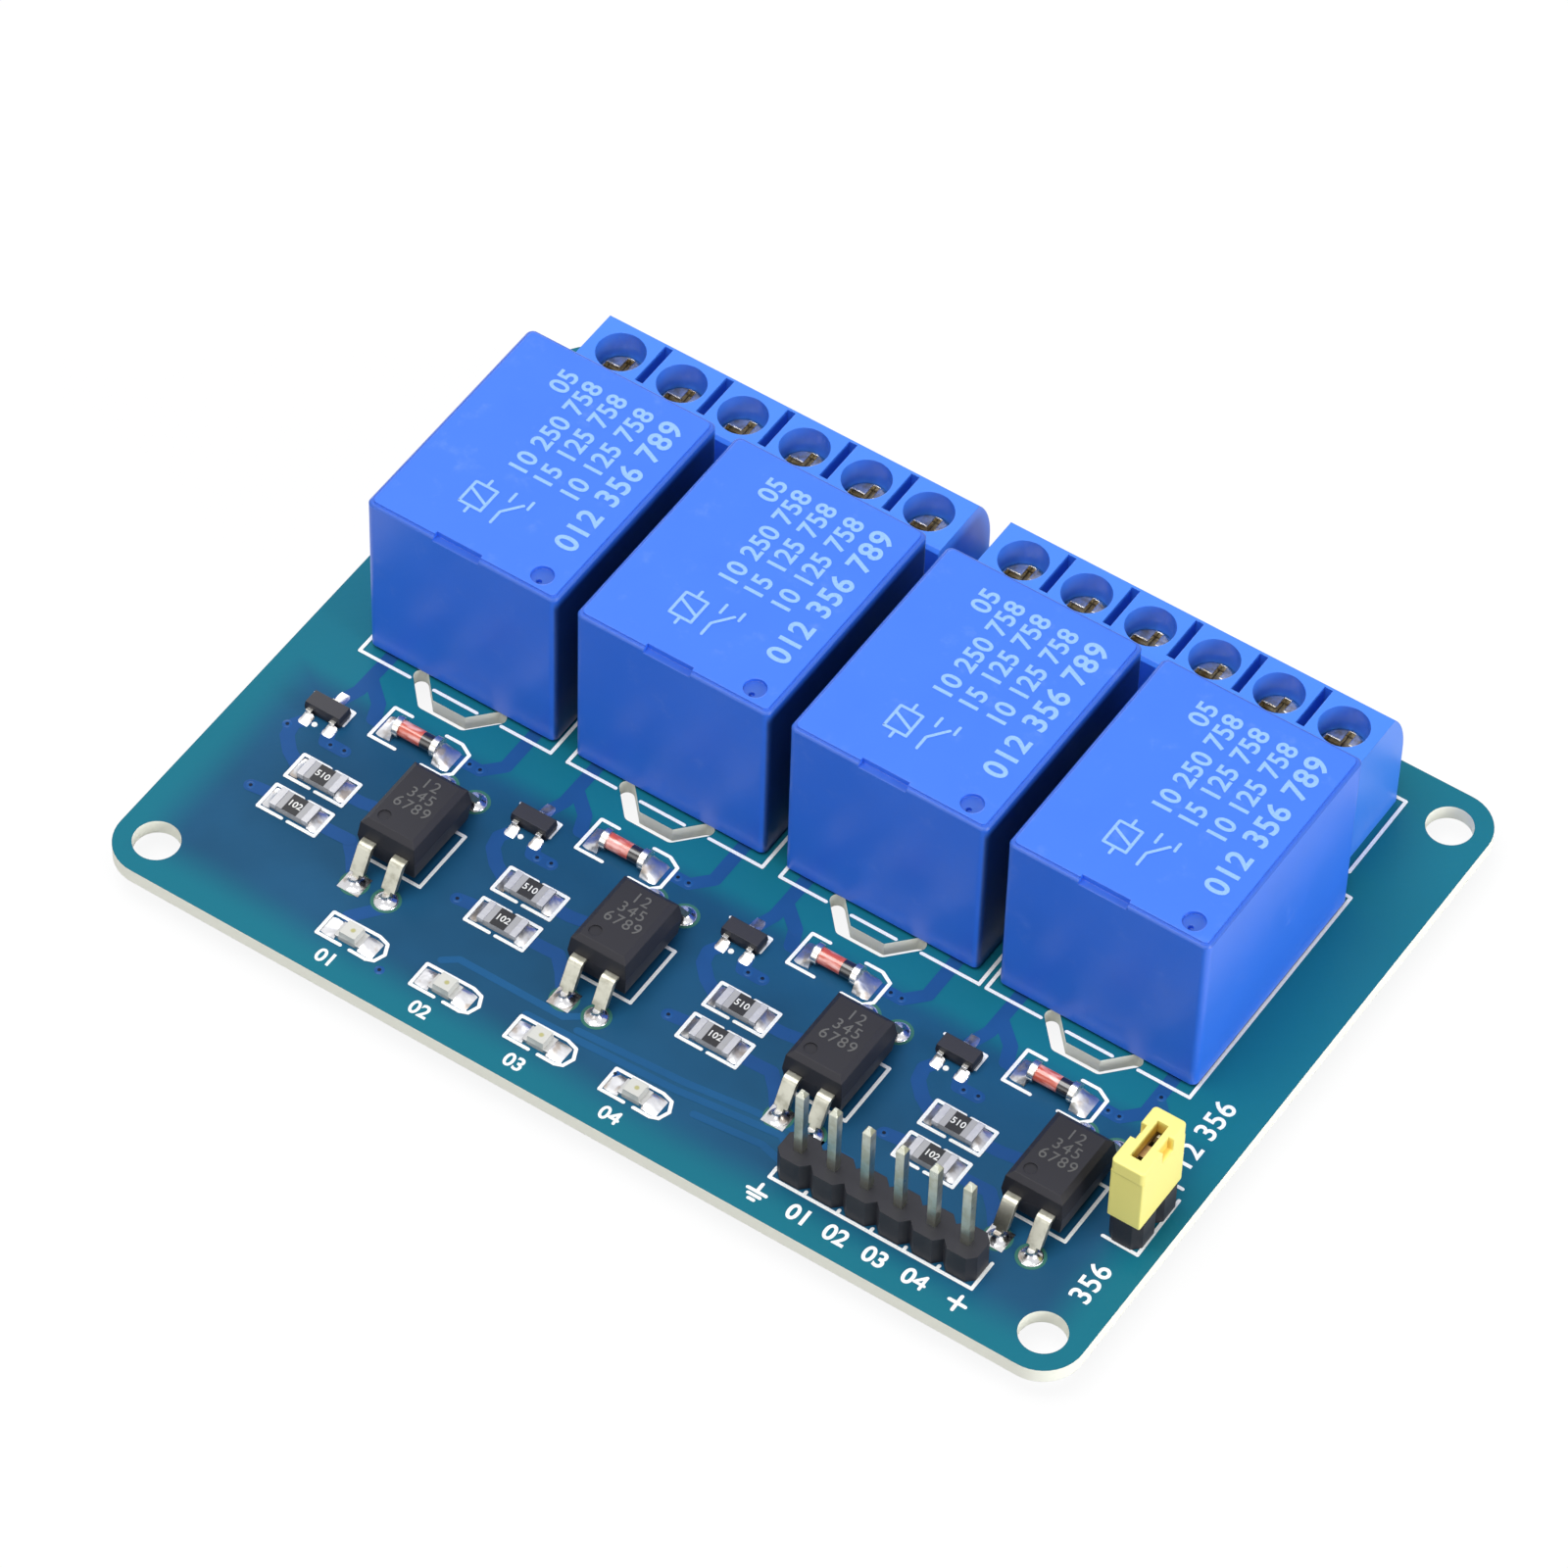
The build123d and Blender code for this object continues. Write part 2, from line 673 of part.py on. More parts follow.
def header_housing(ways):
    """Bar of chamfered segments, moulded round the pins."""
    outline = Sketch()
    for x in spread(ways, header_pitch):
        segment = Rectangle(header_pitch, header_depth)
        outline += Pos(x, 0) * chamfer(segment.vertices(), header_segment_chamfer)
    for x in spread(ways, header_pitch):
        outline -= Pos(x, 0) * Rectangle(header_pin_size, header_pin_size)
    return extrude(outline, header_body_height)


def header_pins(ways, tip_height):
    """All pins of a header."""
    pin = header_pin(tip_height)
    return Compound(children=[Pos(x, 0, 0) * pin for x in spread(ways, header_pitch)])


# Jumper pieces stand about the middle of the cap, with the board's top at zero and length along Y

cap_bottom = header_body_height + seat_gap
cap_top = cap_bottom + cap_height
cap_neck = cap_top - cap_head_height
strip_inner = header_pin_size + 2 * seat_gap
strip_width = strip_inner + 2 * contact_strip_thickness
strip_length = cap_length - 2 * cap_end_wall - 2 * seat_gap


def jumper_cap():
    """Moulded cap: a plain sleeve below, and above it two heads joined by a slotted waist."""
    body = block(around(0, cap_width), around(0, cap_length), (cap_bottom, cap_neck))
    body = fillet(body.edges().filter_by(Axis.Z), cap_edge_radius)
    head_span = cap_length + 2 * cap_head_overhang
    head = block(around(0, cap_width), around(0, head_span), (cap_neck, cap_top))
    head = fillet(head.edges().filter_by(Axis.Z), cap_corner_radius)
    waist = around(cap_waist_shift, cap_waist_length)
    for side in (-1, 1):
        head -= block(around(side * cap_width / 2, 2 * cap_waist_inset), waist, (0, 2 * cap_top))
    head = fillet(head.edges().group_by(Axis.Z)[-1], cap_edge_radius)
    room_x = around(0, strip_width + 2 * seat_gap)
    room_y = around(0, strip_length + 2 * seat_gap)
    cap = body + head - block(room_x, room_y, (0, cap_neck))
    slot_y = around(0, head_span - 2 * cap_slot_end_wall)
    return cap - block(around(0, cap_slot_width), slot_y, (0, 2 * cap_top))


def jumper_contact():
    """Bent strip in the cap: a cheek each side of the pins, bridged between them."""
    strip_z = (cap_bottom + contact_strip_bottom, cap_neck - contact_strip_headroom)
    strip = block(around(0, strip_width), around(0, strip_length), strip_z)
    strip -= block(around(0, strip_inner), (-cap_length, cap_length), (0, 2 * cap_top))
    bridge_z = (strip_z[1] - contact_bridge_height, strip_z[1])
    return strip + block(around(0, strip_width), around(0, contact_bridge_length), bridge_z)


def save_copies(shape, name, places):
    """Write one numbered sub-part per place."""
    for number, place in enumerate(places, start=1):
        save(place * shape, name + "_" + str(number))


def main():
    os.makedirs("parts", exist_ok=True)
    save(circuit_board(), "circuit_board")

    relay_places = [Pos(x, relay_y, board_top) for x in channel_xs]
    save_copies(relay_case(), "relay_case", relay_places)
    save_copies(relay_base(), "relay_base", relay_places)
    save_copies(relay_pins(), "relay_pins", relay_places)
    save_copies(relay_coil(), "relay_coil", relay_places)
    save_copies(relay_yoke(), "relay_yoke", relay_places)
    save_copies(relay_armature(), "relay_armature", relay_places)

    module_places = [Pos(x, 0, board_top) for x in module_xs]
    for number, place in enumerate(module_places):
        joined_side = 1 if number % modules_per_group == 0 else -1
        save(place * terminal_housing(joined_side), "terminal_housing_" + str(number + 1))
    save_copies(terminal_clamps(), "terminal_clamps", module_places)
    screw_places = [place * Pos(x, 0, 0) for place in module_places for x in way_xs]
    save_copies(terminal_screw(), "terminal_screw", screw_places)

    opto_places = [Pos(x + opto_offset, opto_y, board_top) for x in channel_xs]
    save_copies(optocoupler(), "optocoupler", opto_places)
    save(optocoupler_leads(), "optocoupler_leads")

    rows = {
        "transistors": (transistor(), transistor_offset, (transistor_setback,)),
        "diodes": (diode(), diode_offset, (diode_setback,)),
        "resistors": (resistor(), resistor_offset, resistor_setbacks),
    }
    for name, (shape, offset, setbacks) in rows.items():
        places = [Pos(x + offset, relay_front_y - y, board_top) for x in channel_xs for y in setbacks]
        save(Compound(children=[place * shape for place in places]), name)
    led = indicator_led()
    save(Compound(children=[Pos(x, led_y, board_top) * led for x in led_xs]), "indicator_leds")

    header_place = Pos(header_x, header_y, board_top)
    save(header_place * header_housing(header_ways), "header_housing")
    save(header_place * header_pins(header_ways, header_tip_height), "header_pins")
    jumper_place = Pos(jumper_x, jumper_y, board_top)
    along_y = jumper_place * Rot(0, 0, 90)
    save(along_y * header_housing(jumper_ways), "jumper_header_housing")
    save(along_y * header_pins(jumper_ways, jumper_tip_height), "jumper_header_pins")
    save(jumper_place * jumper_cap(), "jumper_cap")
    save(jumper_place * jumper_contact(), "jumper_contact")


main()
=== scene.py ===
"""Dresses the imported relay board: finishes for its parts, and the copper, solder and print on its face."""

import math

import bmesh
import bpy
from mathutils import Matrix, Vector


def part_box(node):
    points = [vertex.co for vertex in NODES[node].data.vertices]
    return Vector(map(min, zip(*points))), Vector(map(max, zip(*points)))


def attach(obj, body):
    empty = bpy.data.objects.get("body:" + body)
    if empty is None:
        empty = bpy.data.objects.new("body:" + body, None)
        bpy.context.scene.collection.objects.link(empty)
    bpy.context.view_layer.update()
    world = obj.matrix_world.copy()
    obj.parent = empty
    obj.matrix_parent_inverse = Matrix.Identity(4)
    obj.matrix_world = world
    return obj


bl_info = {
    "name": "Relay Board Dresser",
    "version": (1, 0, 0),
    "blender": (4, 5, 0),
    "location": "View3D > Sidebar > Relay Board",
    "description": "Finishes, copper, solder and print of a four-channel relay board",
    "category": "Object",
}

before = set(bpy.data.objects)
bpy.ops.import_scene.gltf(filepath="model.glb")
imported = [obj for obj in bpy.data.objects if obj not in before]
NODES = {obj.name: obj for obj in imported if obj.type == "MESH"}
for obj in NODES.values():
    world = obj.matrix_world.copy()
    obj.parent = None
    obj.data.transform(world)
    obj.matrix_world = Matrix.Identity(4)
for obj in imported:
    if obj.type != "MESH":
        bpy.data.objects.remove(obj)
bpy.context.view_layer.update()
MM = 0.001
PER_METRE = 1000


def low(node):
    """Lowest corner of a CAD node, in millimetres."""
    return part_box(node)[0] / MM


def high(node):
    """Highest corner of a CAD node, in millimetres."""
    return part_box(node)[1] / MM


def middle(node):
    """Middle of a CAD node's box, in millimetres."""
    return (low(node) + high(node)) / 2


# Standard distances, in millimetres
PIN_PITCH = 2.54
WAY_PITCH = 5.0
LED_PITCH = 7.5
LED_HALF = 1.0
LEAD_HALF = 0.14

# Places read from the frame, in millimetres
CHANNELS = (1, 2, 3, 4)
MODULES = (1, 2, 3, 4)
BOARD_LOW = low("circuit_board")
BOARD_HIGH = high("circuit_board")
TOP = BOARD_HIGH.z
UNDER = BOARD_LOW.z
RELAYS = [middle(f"relay_case_{i}") for i in CHANNELS]
RELAY_TOP = high("relay_case_1").z
FRONT = low("relay_case_1").y
OPTOS = [middle(f"optocoupler_{i}") for i in CHANNELS]
OPTO_TOP = high("optocoupler_1").z
LEAD_ROWS = (low("optocoupler_leads").y + LEAD_HALF, high("optocoupler_leads").y - LEAD_HALF)
LEDS_LEFT = low("indicator_leds").x + LED_HALF
LEDS = [LEDS_LEFT + LED_PITCH * i for i in range(4)]
LED_Y = middle("indicator_leds").y
HEADER = middle("header_housing")
HEADER_XS = [HEADER.x + PIN_PITCH * (i - 2.5) for i in range(6)]
JUMPER = middle("jumper_header_housing")
WAYS = [middle(f"terminal_housing_{i}").x + WAY_PITCH * way for i in MODULES for way in (-1, 0, 1)]
WELL_Y = middle("terminal_screw_1").y
SCREW_TOP = high("terminal_screw_1").z

# Middles of the small parts, from the middle of their channel
TRANSISTOR = Vector((-6.35, FRONT - 6.5))
DIODE = Vector((0.1, FRONT - 5.1))
RESISTORS = (Vector((-3.3, FRONT - 11.3)), Vector((-3.3, FRONT - 14.4)))


# Sums on sockets

class Wire:
    """An output socket that can be used in a sum: each operator adds the Math node for it."""

    def __init__(self, graph, socket):
        self.graph = graph
        self.socket = socket

    def other(self, key):
        """Another output of the same node."""
        return Wire(self.graph, self.socket.node.outputs[key])

    def math(self, operation, *values):
        return self.graph.node("ShaderNodeMath", {"operation": operation}, dict(enumerate(values)))

    def __add__(self, value):
        return self.math("ADD", self, value)

    def __radd__(self, value):
        return self.math("ADD", value, self)

    def __sub__(self, value):
        return self.math("SUBTRACT", self, value)

    def __rsub__(self, value):
        return self.math("SUBTRACT", value, self)

    def __mul__(self, value):
        return self.math("MULTIPLY", self, value)

    def __rmul__(self, value):
        return self.math("MULTIPLY", value, self)

    def __pow__(self, value):
        return self.math("POWER", self, value)

    def __mod__(self, value):
        return self.math("FLOORED_MODULO", self, value)

    def __gt__(self, value):
        return self.math("GREATER_THAN", self, value)

    def __lt__(self, value):
        return self.math("LESS_THAN", self, value)

    def __abs__(self):
        return self.math("ABSOLUTE", self)

    def low_of(self, value):
        return self.math("MINIMUM", self, value)

    def high_of(self, value):
        return self.math("MAXIMUM", self, value)

    def sine(self):
        return self.math("SINE", self)


class Graph:
    """Adds nodes to one tree."""

    def __init__(self, tree):
        self.tree = tree

    @classmethod
    def of(cls, owner):
        """The emptied tree of a material or a world."""
        owner.use_nodes = True
        owner.node_tree.nodes.clear()
        return cls(owner.node_tree)

    def node(self, kind, settings=None, sockets=None, output=0):
        """Add a node: its settings first, then the values or links of its sockets."""
        made = self.tree.nodes.new(kind)
        for name, value in (settings or {}).items():
            if name == "stops":
                ramp = made.color_ramp.elements
                for index, (spot, colour) in enumerate(value):
                    stop = ramp[index] if index < 2 else ramp.new(spot)
                    stop.position = spot
                    stop.color = colour
            else:
                setattr(made, name, value)
        for key, value in (sockets or {}).items():
            if isinstance(value, Wire):
                self.tree.links.new(value.socket, made.inputs[key])
            elif isinstance(value, list):
                for wire in value:
                    self.tree.links.new(wire.socket, made.inputs[key])
            else:
                made.inputs[key].default_value = value
        return Wire(self, made.outputs[output]) if made.outputs else None

    def place(self):
        """Object coordinates in millimetres, as three values."""
        where = self.node("ShaderNodeTexCoord", {}, {}, "Object")
        axes = self.node("ShaderNodeSeparateXYZ", {}, {0: where})
        return axes * PER_METRE, axes.other(1) * PER_METRE, axes.other(2) * PER_METRE

    def facing(self):
        """The surface's own direction, as three values."""
        normal = self.node("ShaderNodeNewGeometry", {}, {}, "Normal")
        axes = self.node("ShaderNodeSeparateXYZ", {}, {0: normal})
        return axes, axes.other(1), axes.other(2)

    def noise(self, size, detail=2.0, rough=0.5, stretch=None):
        """Soft random values with features of about the given size in millimetres."""
        where = self.node("ShaderNodeTexCoord", {}, {}, "Object")
        if stretch:
            where = self.node("ShaderNodeMapping", {}, {"Vector": where, "Scale": stretch})
        sockets = {"Vector": where, "Scale": 1 / (size * MM), "Detail": detail, "Roughness": rough}
        return self.node("ShaderNodeTexNoise", {}, sockets)

    def smooth(self, value, start, end):
        """Nought at start and one at end, with a soft step between."""
        sockets = {"Value": value, "From Min": start, "From Max": end}
        return self.node("ShaderNodeMapRange", {"interpolation_type": "SMOOTHSTEP"}, sockets)

    def blend(self, factor, first, second):
        """A colour between two colours."""
        return self.node("ShaderNodeMix", {"data_type": "RGBA"}, {0: factor, 6: first, 7: second}, 2)

    def relief(self, height, depth, round_edges=0.0):
        """A normal with the height's bumps, depth in millimetres, on edges rounded in the shading."""
        sockets = {"Height": height, "Distance": depth * MM, "Strength": 1.0}
        if round_edges:
            bevel = self.node("ShaderNodeBevel", {"samples": 4}, {"Radius": round_edges * MM})
            sockets["Normal"] = bevel
        return self.node("ShaderNodeBump", {}, sockets)

    def backdrop_rays(self):
        """One for what the camera sees of the backdrop, itself or through metal and glass."""
        path = self.node("ShaderNodeLightPath", {}, {}, "Is Camera Ray")
        return path, path.high_of(path.other("Is Glossy Ray")).high_of(path.other("Is Transmission Ray"))


def opaque(colour, light=1.0):
    """A colour with full cover, made darker or lighter."""
    return (*(tone * light for tone in colour[:3]), 1.0)


def finish(name, paint, **looks):
    """A material: paint gives the sockets of its shader."""
    material = bpy.data.materials.new(name)
    graph = Graph.of(material)
    shader = graph.node("ShaderNodeBsdfPrincipled", {}, paint(graph, **looks))
    graph.node("ShaderNodeOutputMaterial", {}, {"Surface": shader})
    return material


def dress(material, *names):
    """Give CAD nodes a finish."""
    for name in names:
        mesh = NODES[name].data
        mesh.materials.clear()
        mesh.materials.append(material)


def each(name, numbers):
    """Numbered names."""
    return [f"{name}_{i}" for i in numbers]


# Finishes

# Where the copper pour under the lacquer ends: distances from the rim, and places along Y
BARE_RIM = (5.2, 1.6)
BARE_REAR = (FRONT - 5.4, FRONT - 3.0)
# The glass weave's waves, in radians on a millimetre
WEAVE = 9.0
# Painted shade in the covers' recesses, in the gaps between them and in the screws' slots, from the top down
RECESS_SHADE_DEPTHS = (RELAY_TOP - 0.04, RELAY_TOP - 0.2)
GAP_SHADE_DEPTHS = (RELAY_TOP - 0.2, RELAY_TOP - 1.3)
SLOT_SHADE_DEPTHS = (SCREW_TOP - 0.35, SCREW_TOP - 0.65)
SLOT_SHADE_COLOUR = (0.09, 0.065, 0.04, 1.0)
SCUFF = (0.2, 0.34, 0.9, 1.0)
# The coil's flanges, and its wire
FLANGE = 0.82
WIRE_PITCH = 0.14
# Distances along X from a small part's middle at which its finish changes, and where a lens starts
DIODE_CAP, DIODE_BAND = 1.29, (0.42, 1.3)
RESISTOR_CAP, RESISTOR_GLAZE = 1.04, 0.58
LED_CAP, LED_LENS_BASE = 0.66, TOP + 0.36


def paint_mask(graph, mask, rim, laminate):
    """Lacquered faces, brighter where no copper lies below, and pale sawn edges and slots."""
    x, y, _ = graph.place()
    half = (BOARD_HIGH - BOARD_LOW) / 2
    flat = abs(graph.facing()[2]) > 0.5
    inset = (half.x - abs(x)).low_of(half.y - abs(y))
    cloud = graph.noise(9.0, 3.0)
    bare_rim = graph.smooth(inset + cloud * 1.5, *BARE_RIM)
    bare = bare_rim.high_of(graph.smooth(y, *BARE_REAR))
    deep = graph.blend(graph.smooth(cloud, 0.35, 0.65), opaque(mask, 0.84), opaque(mask))
    lacquer = graph.blend(bare, deep, opaque(rim))
    fibre = graph.noise(0.35, 2.0, 0.6, (1.0, 1.0, 5.0))
    sawn = graph.blend(fibre, opaque(laminate, 0.92), opaque(laminate))
    weave = (x * WEAVE).sine() * (y * WEAVE).sine()
    bumps = graph.noise(1.2, 2.0) + weave * 0.12
    return {
        "Base Color": graph.blend(flat, sawn, lacquer),
        "Roughness": 0.6 - flat * (0.32 - cloud * 0.1),
        "Specular IOR Level": 0.14,
        "Normal": graph.relief(bumps, 0.012, 0.08),
    }


def paint_moulded(graph, colour, rough, grain_size, round_edges, shine=0.5):
    """Moulded plastic: fine grain, slight cloud in its gloss, edges a little rounded."""
    cloud = graph.noise(4.0, 3.0)
    grain = graph.noise(grain_size, 3.0, 0.6)
    tone = graph.blend(cloud, opaque(colour, 0.94), opaque(colour))
    return {
        "Base Color": tone,
        "Roughness": rough + cloud * 0.1 + grain * 0.05,
        "Specular IOR Level": shine,
        "Normal": graph.relief(grain, 0.004, round_edges),
    }


def paint_cover(graph, colour, rough, grain_size, round_edges, shine):
    """Moulded relay cover: faint scuffs, and painted shade in its recesses and in the gaps between covers."""
    sockets = paint_moulded(graph, colour, rough, grain_size, round_edges, shine)
    x, _, z = graph.place()
    across, _, up = graph.facing()
    # Painted shade on the up-facing floor of the recesses, and low on the inner sides in the gaps between
    # covers
    recess_shade = graph.smooth(z, *RECESS_SHADE_DEPTHS) * (up > 0.5)
    inner = graph.smooth(abs(across), 0.5, 0.9) * (abs(x) < RELAYS[-1].x)
    gap_shade = inner * graph.smooth(z, *GAP_SHADE_DEPTHS)
    scuff = graph.smooth(graph.noise(2.2, 4.0, 0.7), 0.56, 0.8)
    pale = graph.blend(scuff * 0.2, sockets["Base Color"], SCUFF)
    # Painted shade: the cover's colour is darkened towards an eighth of itself in those places
    sockets["Base Color"] = graph.blend(recess_shade * 0.4 + gap_shade * 0.85, pale, opaque(colour, 0.12))
    sockets["Roughness"] = sockets["Roughness"] + scuff * 0.12
    return sockets


def paint_cap(graph, colour, depth_colour, rough):
    """Translucent moulded cap, with painted shade in a deeper orange in its slot and notches."""
    sockets = paint_moulded(graph, colour, rough, 0.12, 0.12)
    x, y, z = graph.place()
    spot, corner = middle("jumper_cap"), high("jumper_cap")
    shaded_inside = graph.smooth(z, corner.z - 0.04, corner.z - 0.6)
    for value, centre, reach in ((x, spot.x, corner.x - spot.x), (y, spot.y, corner.y - spot.y)):
        shaded_inside = shaded_inside * graph.smooth(abs(value - centre), reach - 0.04, reach - 0.3)
    # Painted shade: a deeper orange inside the cap, below its top and away from its sides
    sockets["Base Color"] = graph.blend(shaded_inside * 0.85, sockets["Base Color"], opaque(depth_colour))
    return sockets


def paint_metal(graph, colour, stain, rough, grain_size, round_edges):
    """Plated metal with faint stains and a fine drawn grain."""
    cloud = graph.noise(0.8, 3.0, 0.6)
    grain = graph.noise(grain_size, 2.0, 0.6, (1.0, 1.0, 0.25))
    return {
        "Base Color": graph.blend(graph.smooth(cloud, 0.38, 0.72), opaque(colour), opaque(stain)),
        "Metallic": 1.0,
        "Roughness": rough + cloud * 0.18,
        "Normal": graph.relief(grain, 0.006, round_edges),
    }


def paint_screw(graph, colour, stain, rough, grain_size, round_edges):
    """Plated screw with painted shade at the bottom of its slots."""
    sockets = paint_metal(graph, colour, stain, rough, grain_size, round_edges)
    # Painted shade: the colour darkens to a dark brown towards the bottom of the slots, which are also
    # rougher there
    slot_shade = graph.smooth(graph.place()[2], *SLOT_SHADE_DEPTHS)
    sockets["Base Color"] = graph.blend(slot_shade * 0.8, sockets["Base Color"], SLOT_SHADE_COLOUR)
    sockets["Roughness"] = sockets["Roughness"] + slot_shade * 0.3
    return sockets


def paint_solder(graph, colour, shade, rough):
    """Solder: smooth, with slow ripples and slightly dull patches."""
    ripple = graph.noise(0.55, 2.0)
    patch = graph.noise(0.9, 2.0)
    dull = graph.smooth(patch, 0.48, 0.7)
    return {
        "Base Color": graph.blend(dull, opaque(colour), opaque(shade)),
        "Metallic": 1.0,
        "Roughness": rough + dull * 0.16,
        "Normal": graph.relief(ripple, 0.035),
    }


def paint_ink(graph, colour, rough):
    """Printed ink: slightly thin in places."""
    speckle = graph.noise(0.12, 2.0)
    cover = graph.smooth(speckle, 0.3, 0.6)
    return {
        "Base Color": graph.blend(cover, opaque(colour, 0.86), opaque(colour)),
        "Roughness": rough + speckle * 0.1,
        "Normal": graph.relief(speckle, 0.003),
    }


def paint_coil(graph, winding, bobbin):
    """Enamelled wire in close turns between two pale flanges."""
    z = graph.place()[2]
    wound = (z > low("relay_coil_1").z + FLANGE) * (z < high("relay_coil_1").z - FLANGE)
    turns = (z * (2 * math.pi / WIRE_PITCH)).sine()
    return {
        "Base Color": graph.blend(wound, opaque(bobbin), opaque(winding)),
        "Roughness": 0.5 - wound * 0.2,
        "Normal": graph.relief(turns * wound, 0.03),
    }


def from_nearest(x, first, pitch=RELAYS[1].x - RELAYS[0].x):
    """Distance along X from the nearest middle, in a row of like parts at an even pitch."""
    return ((x - (first - pitch / 2)) % pitch) - pitch / 2


def paint_transistor(graph, black, tin):
    """Black moulded body with bright leads in front and behind."""
    lead = abs(graph.place()[1] - TRANSISTOR.y) > 0.66
    grain = graph.noise(0.1, 2.0)
    return {
        "Base Color": graph.blend(lead, opaque(black), opaque(tin)),
        "Metallic": lead * 1.0,
        "Roughness": 0.42 - lead * 0.2 + grain * 0.08,
        "Normal": graph.relief(grain, 0.004, 0.05),
    }


def paint_diode(graph, glass, band, tin):
    """Red glass with a dark band between two bright caps, and painted highlights in pale streaks on the
    glass.
    """
    along = from_nearest(graph.place()[0], RELAYS[0].x + DIODE.x)
    cap = abs(along) > DIODE_CAP
    dark = (along > DIODE_BAND[0]) * (along < DIODE_BAND[1])
    streak = graph.noise(0.5, 2.0, 0.5, (0.35, 1.0, 1.0))
    # Painted highlight: pale pink streaks blended into the red glass
    highlighted = graph.blend(graph.smooth(streak, 0.46, 0.72), opaque(glass), (0.85, 0.42, 0.38, 1.0))
    body = graph.blend(dark, highlighted, opaque(band))
    return {
        "Base Color": graph.blend(cap, body, opaque(tin)),
        "Metallic": cap * 1.0,
        "Roughness": 0.12 + cap * 0.12 + streak * 0.06,
        "Coat Weight": 1.0,
        "Coat Roughness": 0.04,
        "Normal": graph.relief(streak, 0.01, 0.04),
    }


def paint_resistor(graph, black, ceramic, tin):
    """Black glaze on top, pale ceramic beside it and bright end caps."""
    along = from_nearest(graph.place()[0], RELAYS[0].x + RESISTORS[0].x)
    glaze = (abs(along) < RESISTOR_GLAZE) * (graph.facing()[2] > 0.5)
    cap = abs(along) > RESISTOR_CAP
    cloud = graph.noise(0.3, 2.0)
    body = graph.blend(glaze, opaque(ceramic), opaque(black))
    return {
        "Base Color": graph.blend(cap, body, opaque(tin)),
        "Metallic": cap * 0.9,
        "Roughness": 0.5 - glaze * 0.15 - cap * 0.1 + cloud * 0.08,
        "Normal": graph.relief(cloud, 0.012, 0.05),
    }


def paint_indicator(graph, lens, carrier, tin):
    """Clear lens on a pale carrier with bright ends, and the chip seen through the lens."""
    x, y, z = graph.place()
    along = from_nearest(x, LEDS[0], LED_PITCH)
    cap = abs(along) > LED_CAP
    raised = z > LED_LENS_BASE
    chip = graph.smooth(((along - 0.1) ** 2 + (y - LED_Y) ** 2) ** 0.5, 0.24, 0.1)
    glow = graph.blend(chip, opaque(lens), (0.42, 0.4, 0.16, 1.0))
    body = graph.blend(raised, opaque(carrier), glow)
    return {
        "Base Color": graph.blend(cap, body, opaque(tin)),
        "Metallic": cap * 0.9,
        "Roughness": 0.3,
        "Coat Weight": 0.6,
        "Coat Roughness": 0.05,
        "Normal": graph.relief(graph.noise(0.25, 2.0), 0.01, 0.05),
    }


# Shapes

def to_metres(mesh):
    mesh.transform(Matrix.Scale(MM, 4))
    return mesh


def outwards(mesh):
    """Turn every face of closed shells outwards."""
    shell = bmesh.new()
    shell.from_mesh(mesh)
    bmesh.ops.recalc_face_normals(shell, faces=shell.faces)
    shell.to_mesh(mesh)
    shell.free()
    return mesh


def keep(name, mesh, body="board", material=None):
    """Make a finished piece of a mesh in place and let it ride on a body."""
    if material:
        mesh.materials.clear()
        mesh.materials.append(material)
    piece = bpy.data.objects.new(name, mesh)
    bpy.context.scene.collection.objects.link(piece)
    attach(piece, body)
    return piece


# Runs that meet lie this far apart in height, so that no two of their faces share a plane
RUN_STEP = 0.002
RUN_LEVELS = 7


def guide_lines(lines, height, step=RUN_STEP):
    """A guide mesh in metres: a loose edge for each run of the lines, each a step from the last in height."""
    runs = [(start, end) for line in lines for start, end in zip(line, line[1:])]
    corners = []
    for index, run in enumerate(runs):
        z = (height + index % RUN_LEVELS * step) * MM
        corners += [(x * MM, y * MM, z) for x, y in run]
    mesh = bpy.data.meshes.new("guide")
    mesh.from_pydata(corners, [(i, i + 1) for i in range(0, len(corners), 2)], [])
    return mesh


def guide_points(spots, height, turns=None):
    """A guide mesh of loose points in metres, each with the angle that its copy is turned by."""
    mesh = bpy.data.meshes.new("guide")
    mesh.from_pydata([(x * MM, y * MM, height * MM) for x, y in spots], [], [])
    if turns:
        heading = mesh.attributes.new("heading", "FLOAT", "POINT")
        heading.data.foreach_set("value", turns)
    return mesh


def geometry_tree(name, *sizes):
    """A tree with inputs for a geometry, the named sizes and a material, and the wire of its geometry."""
    tree = bpy.data.node_groups.new(name, "GeometryNodeTree")
    inputs = [("Geometry", "Geometry"), *((size, "Float") for size in sizes), ("Material", "Material")]
    for label, kind in inputs:
        tree.interface.new_socket(label, in_out="INPUT", socket_type="NodeSocket" + kind)
    tree.interface.new_socket("Geometry", in_out="OUTPUT", socket_type="NodeSocketGeometry")
    graph = Graph(tree)
    return graph, graph.node("NodeGroupInput", {}, {}, "Geometry")


def close_tree(graph, geometry, given):
    """End a tree: copies made real, then the material."""
    real = graph.node("GeometryNodeRealizeInstances", {}, {0: geometry})
    sockets = {"Geometry": real, "Material": given.other("Material")}
    graph.node("NodeGroupOutput", {}, {0: graph.node("GeometryNodeSetMaterial", {}, sockets)})
    return graph.tree


def close_with_copies(graph, piece, given, **turn):
    """End a tree with a copy of the piece on each given point."""
    sockets = {"Points": given, "Instance": piece} | turn
    return close_tree(graph, graph.node("GeometryNodeInstanceOnPoints", {}, sockets), given)


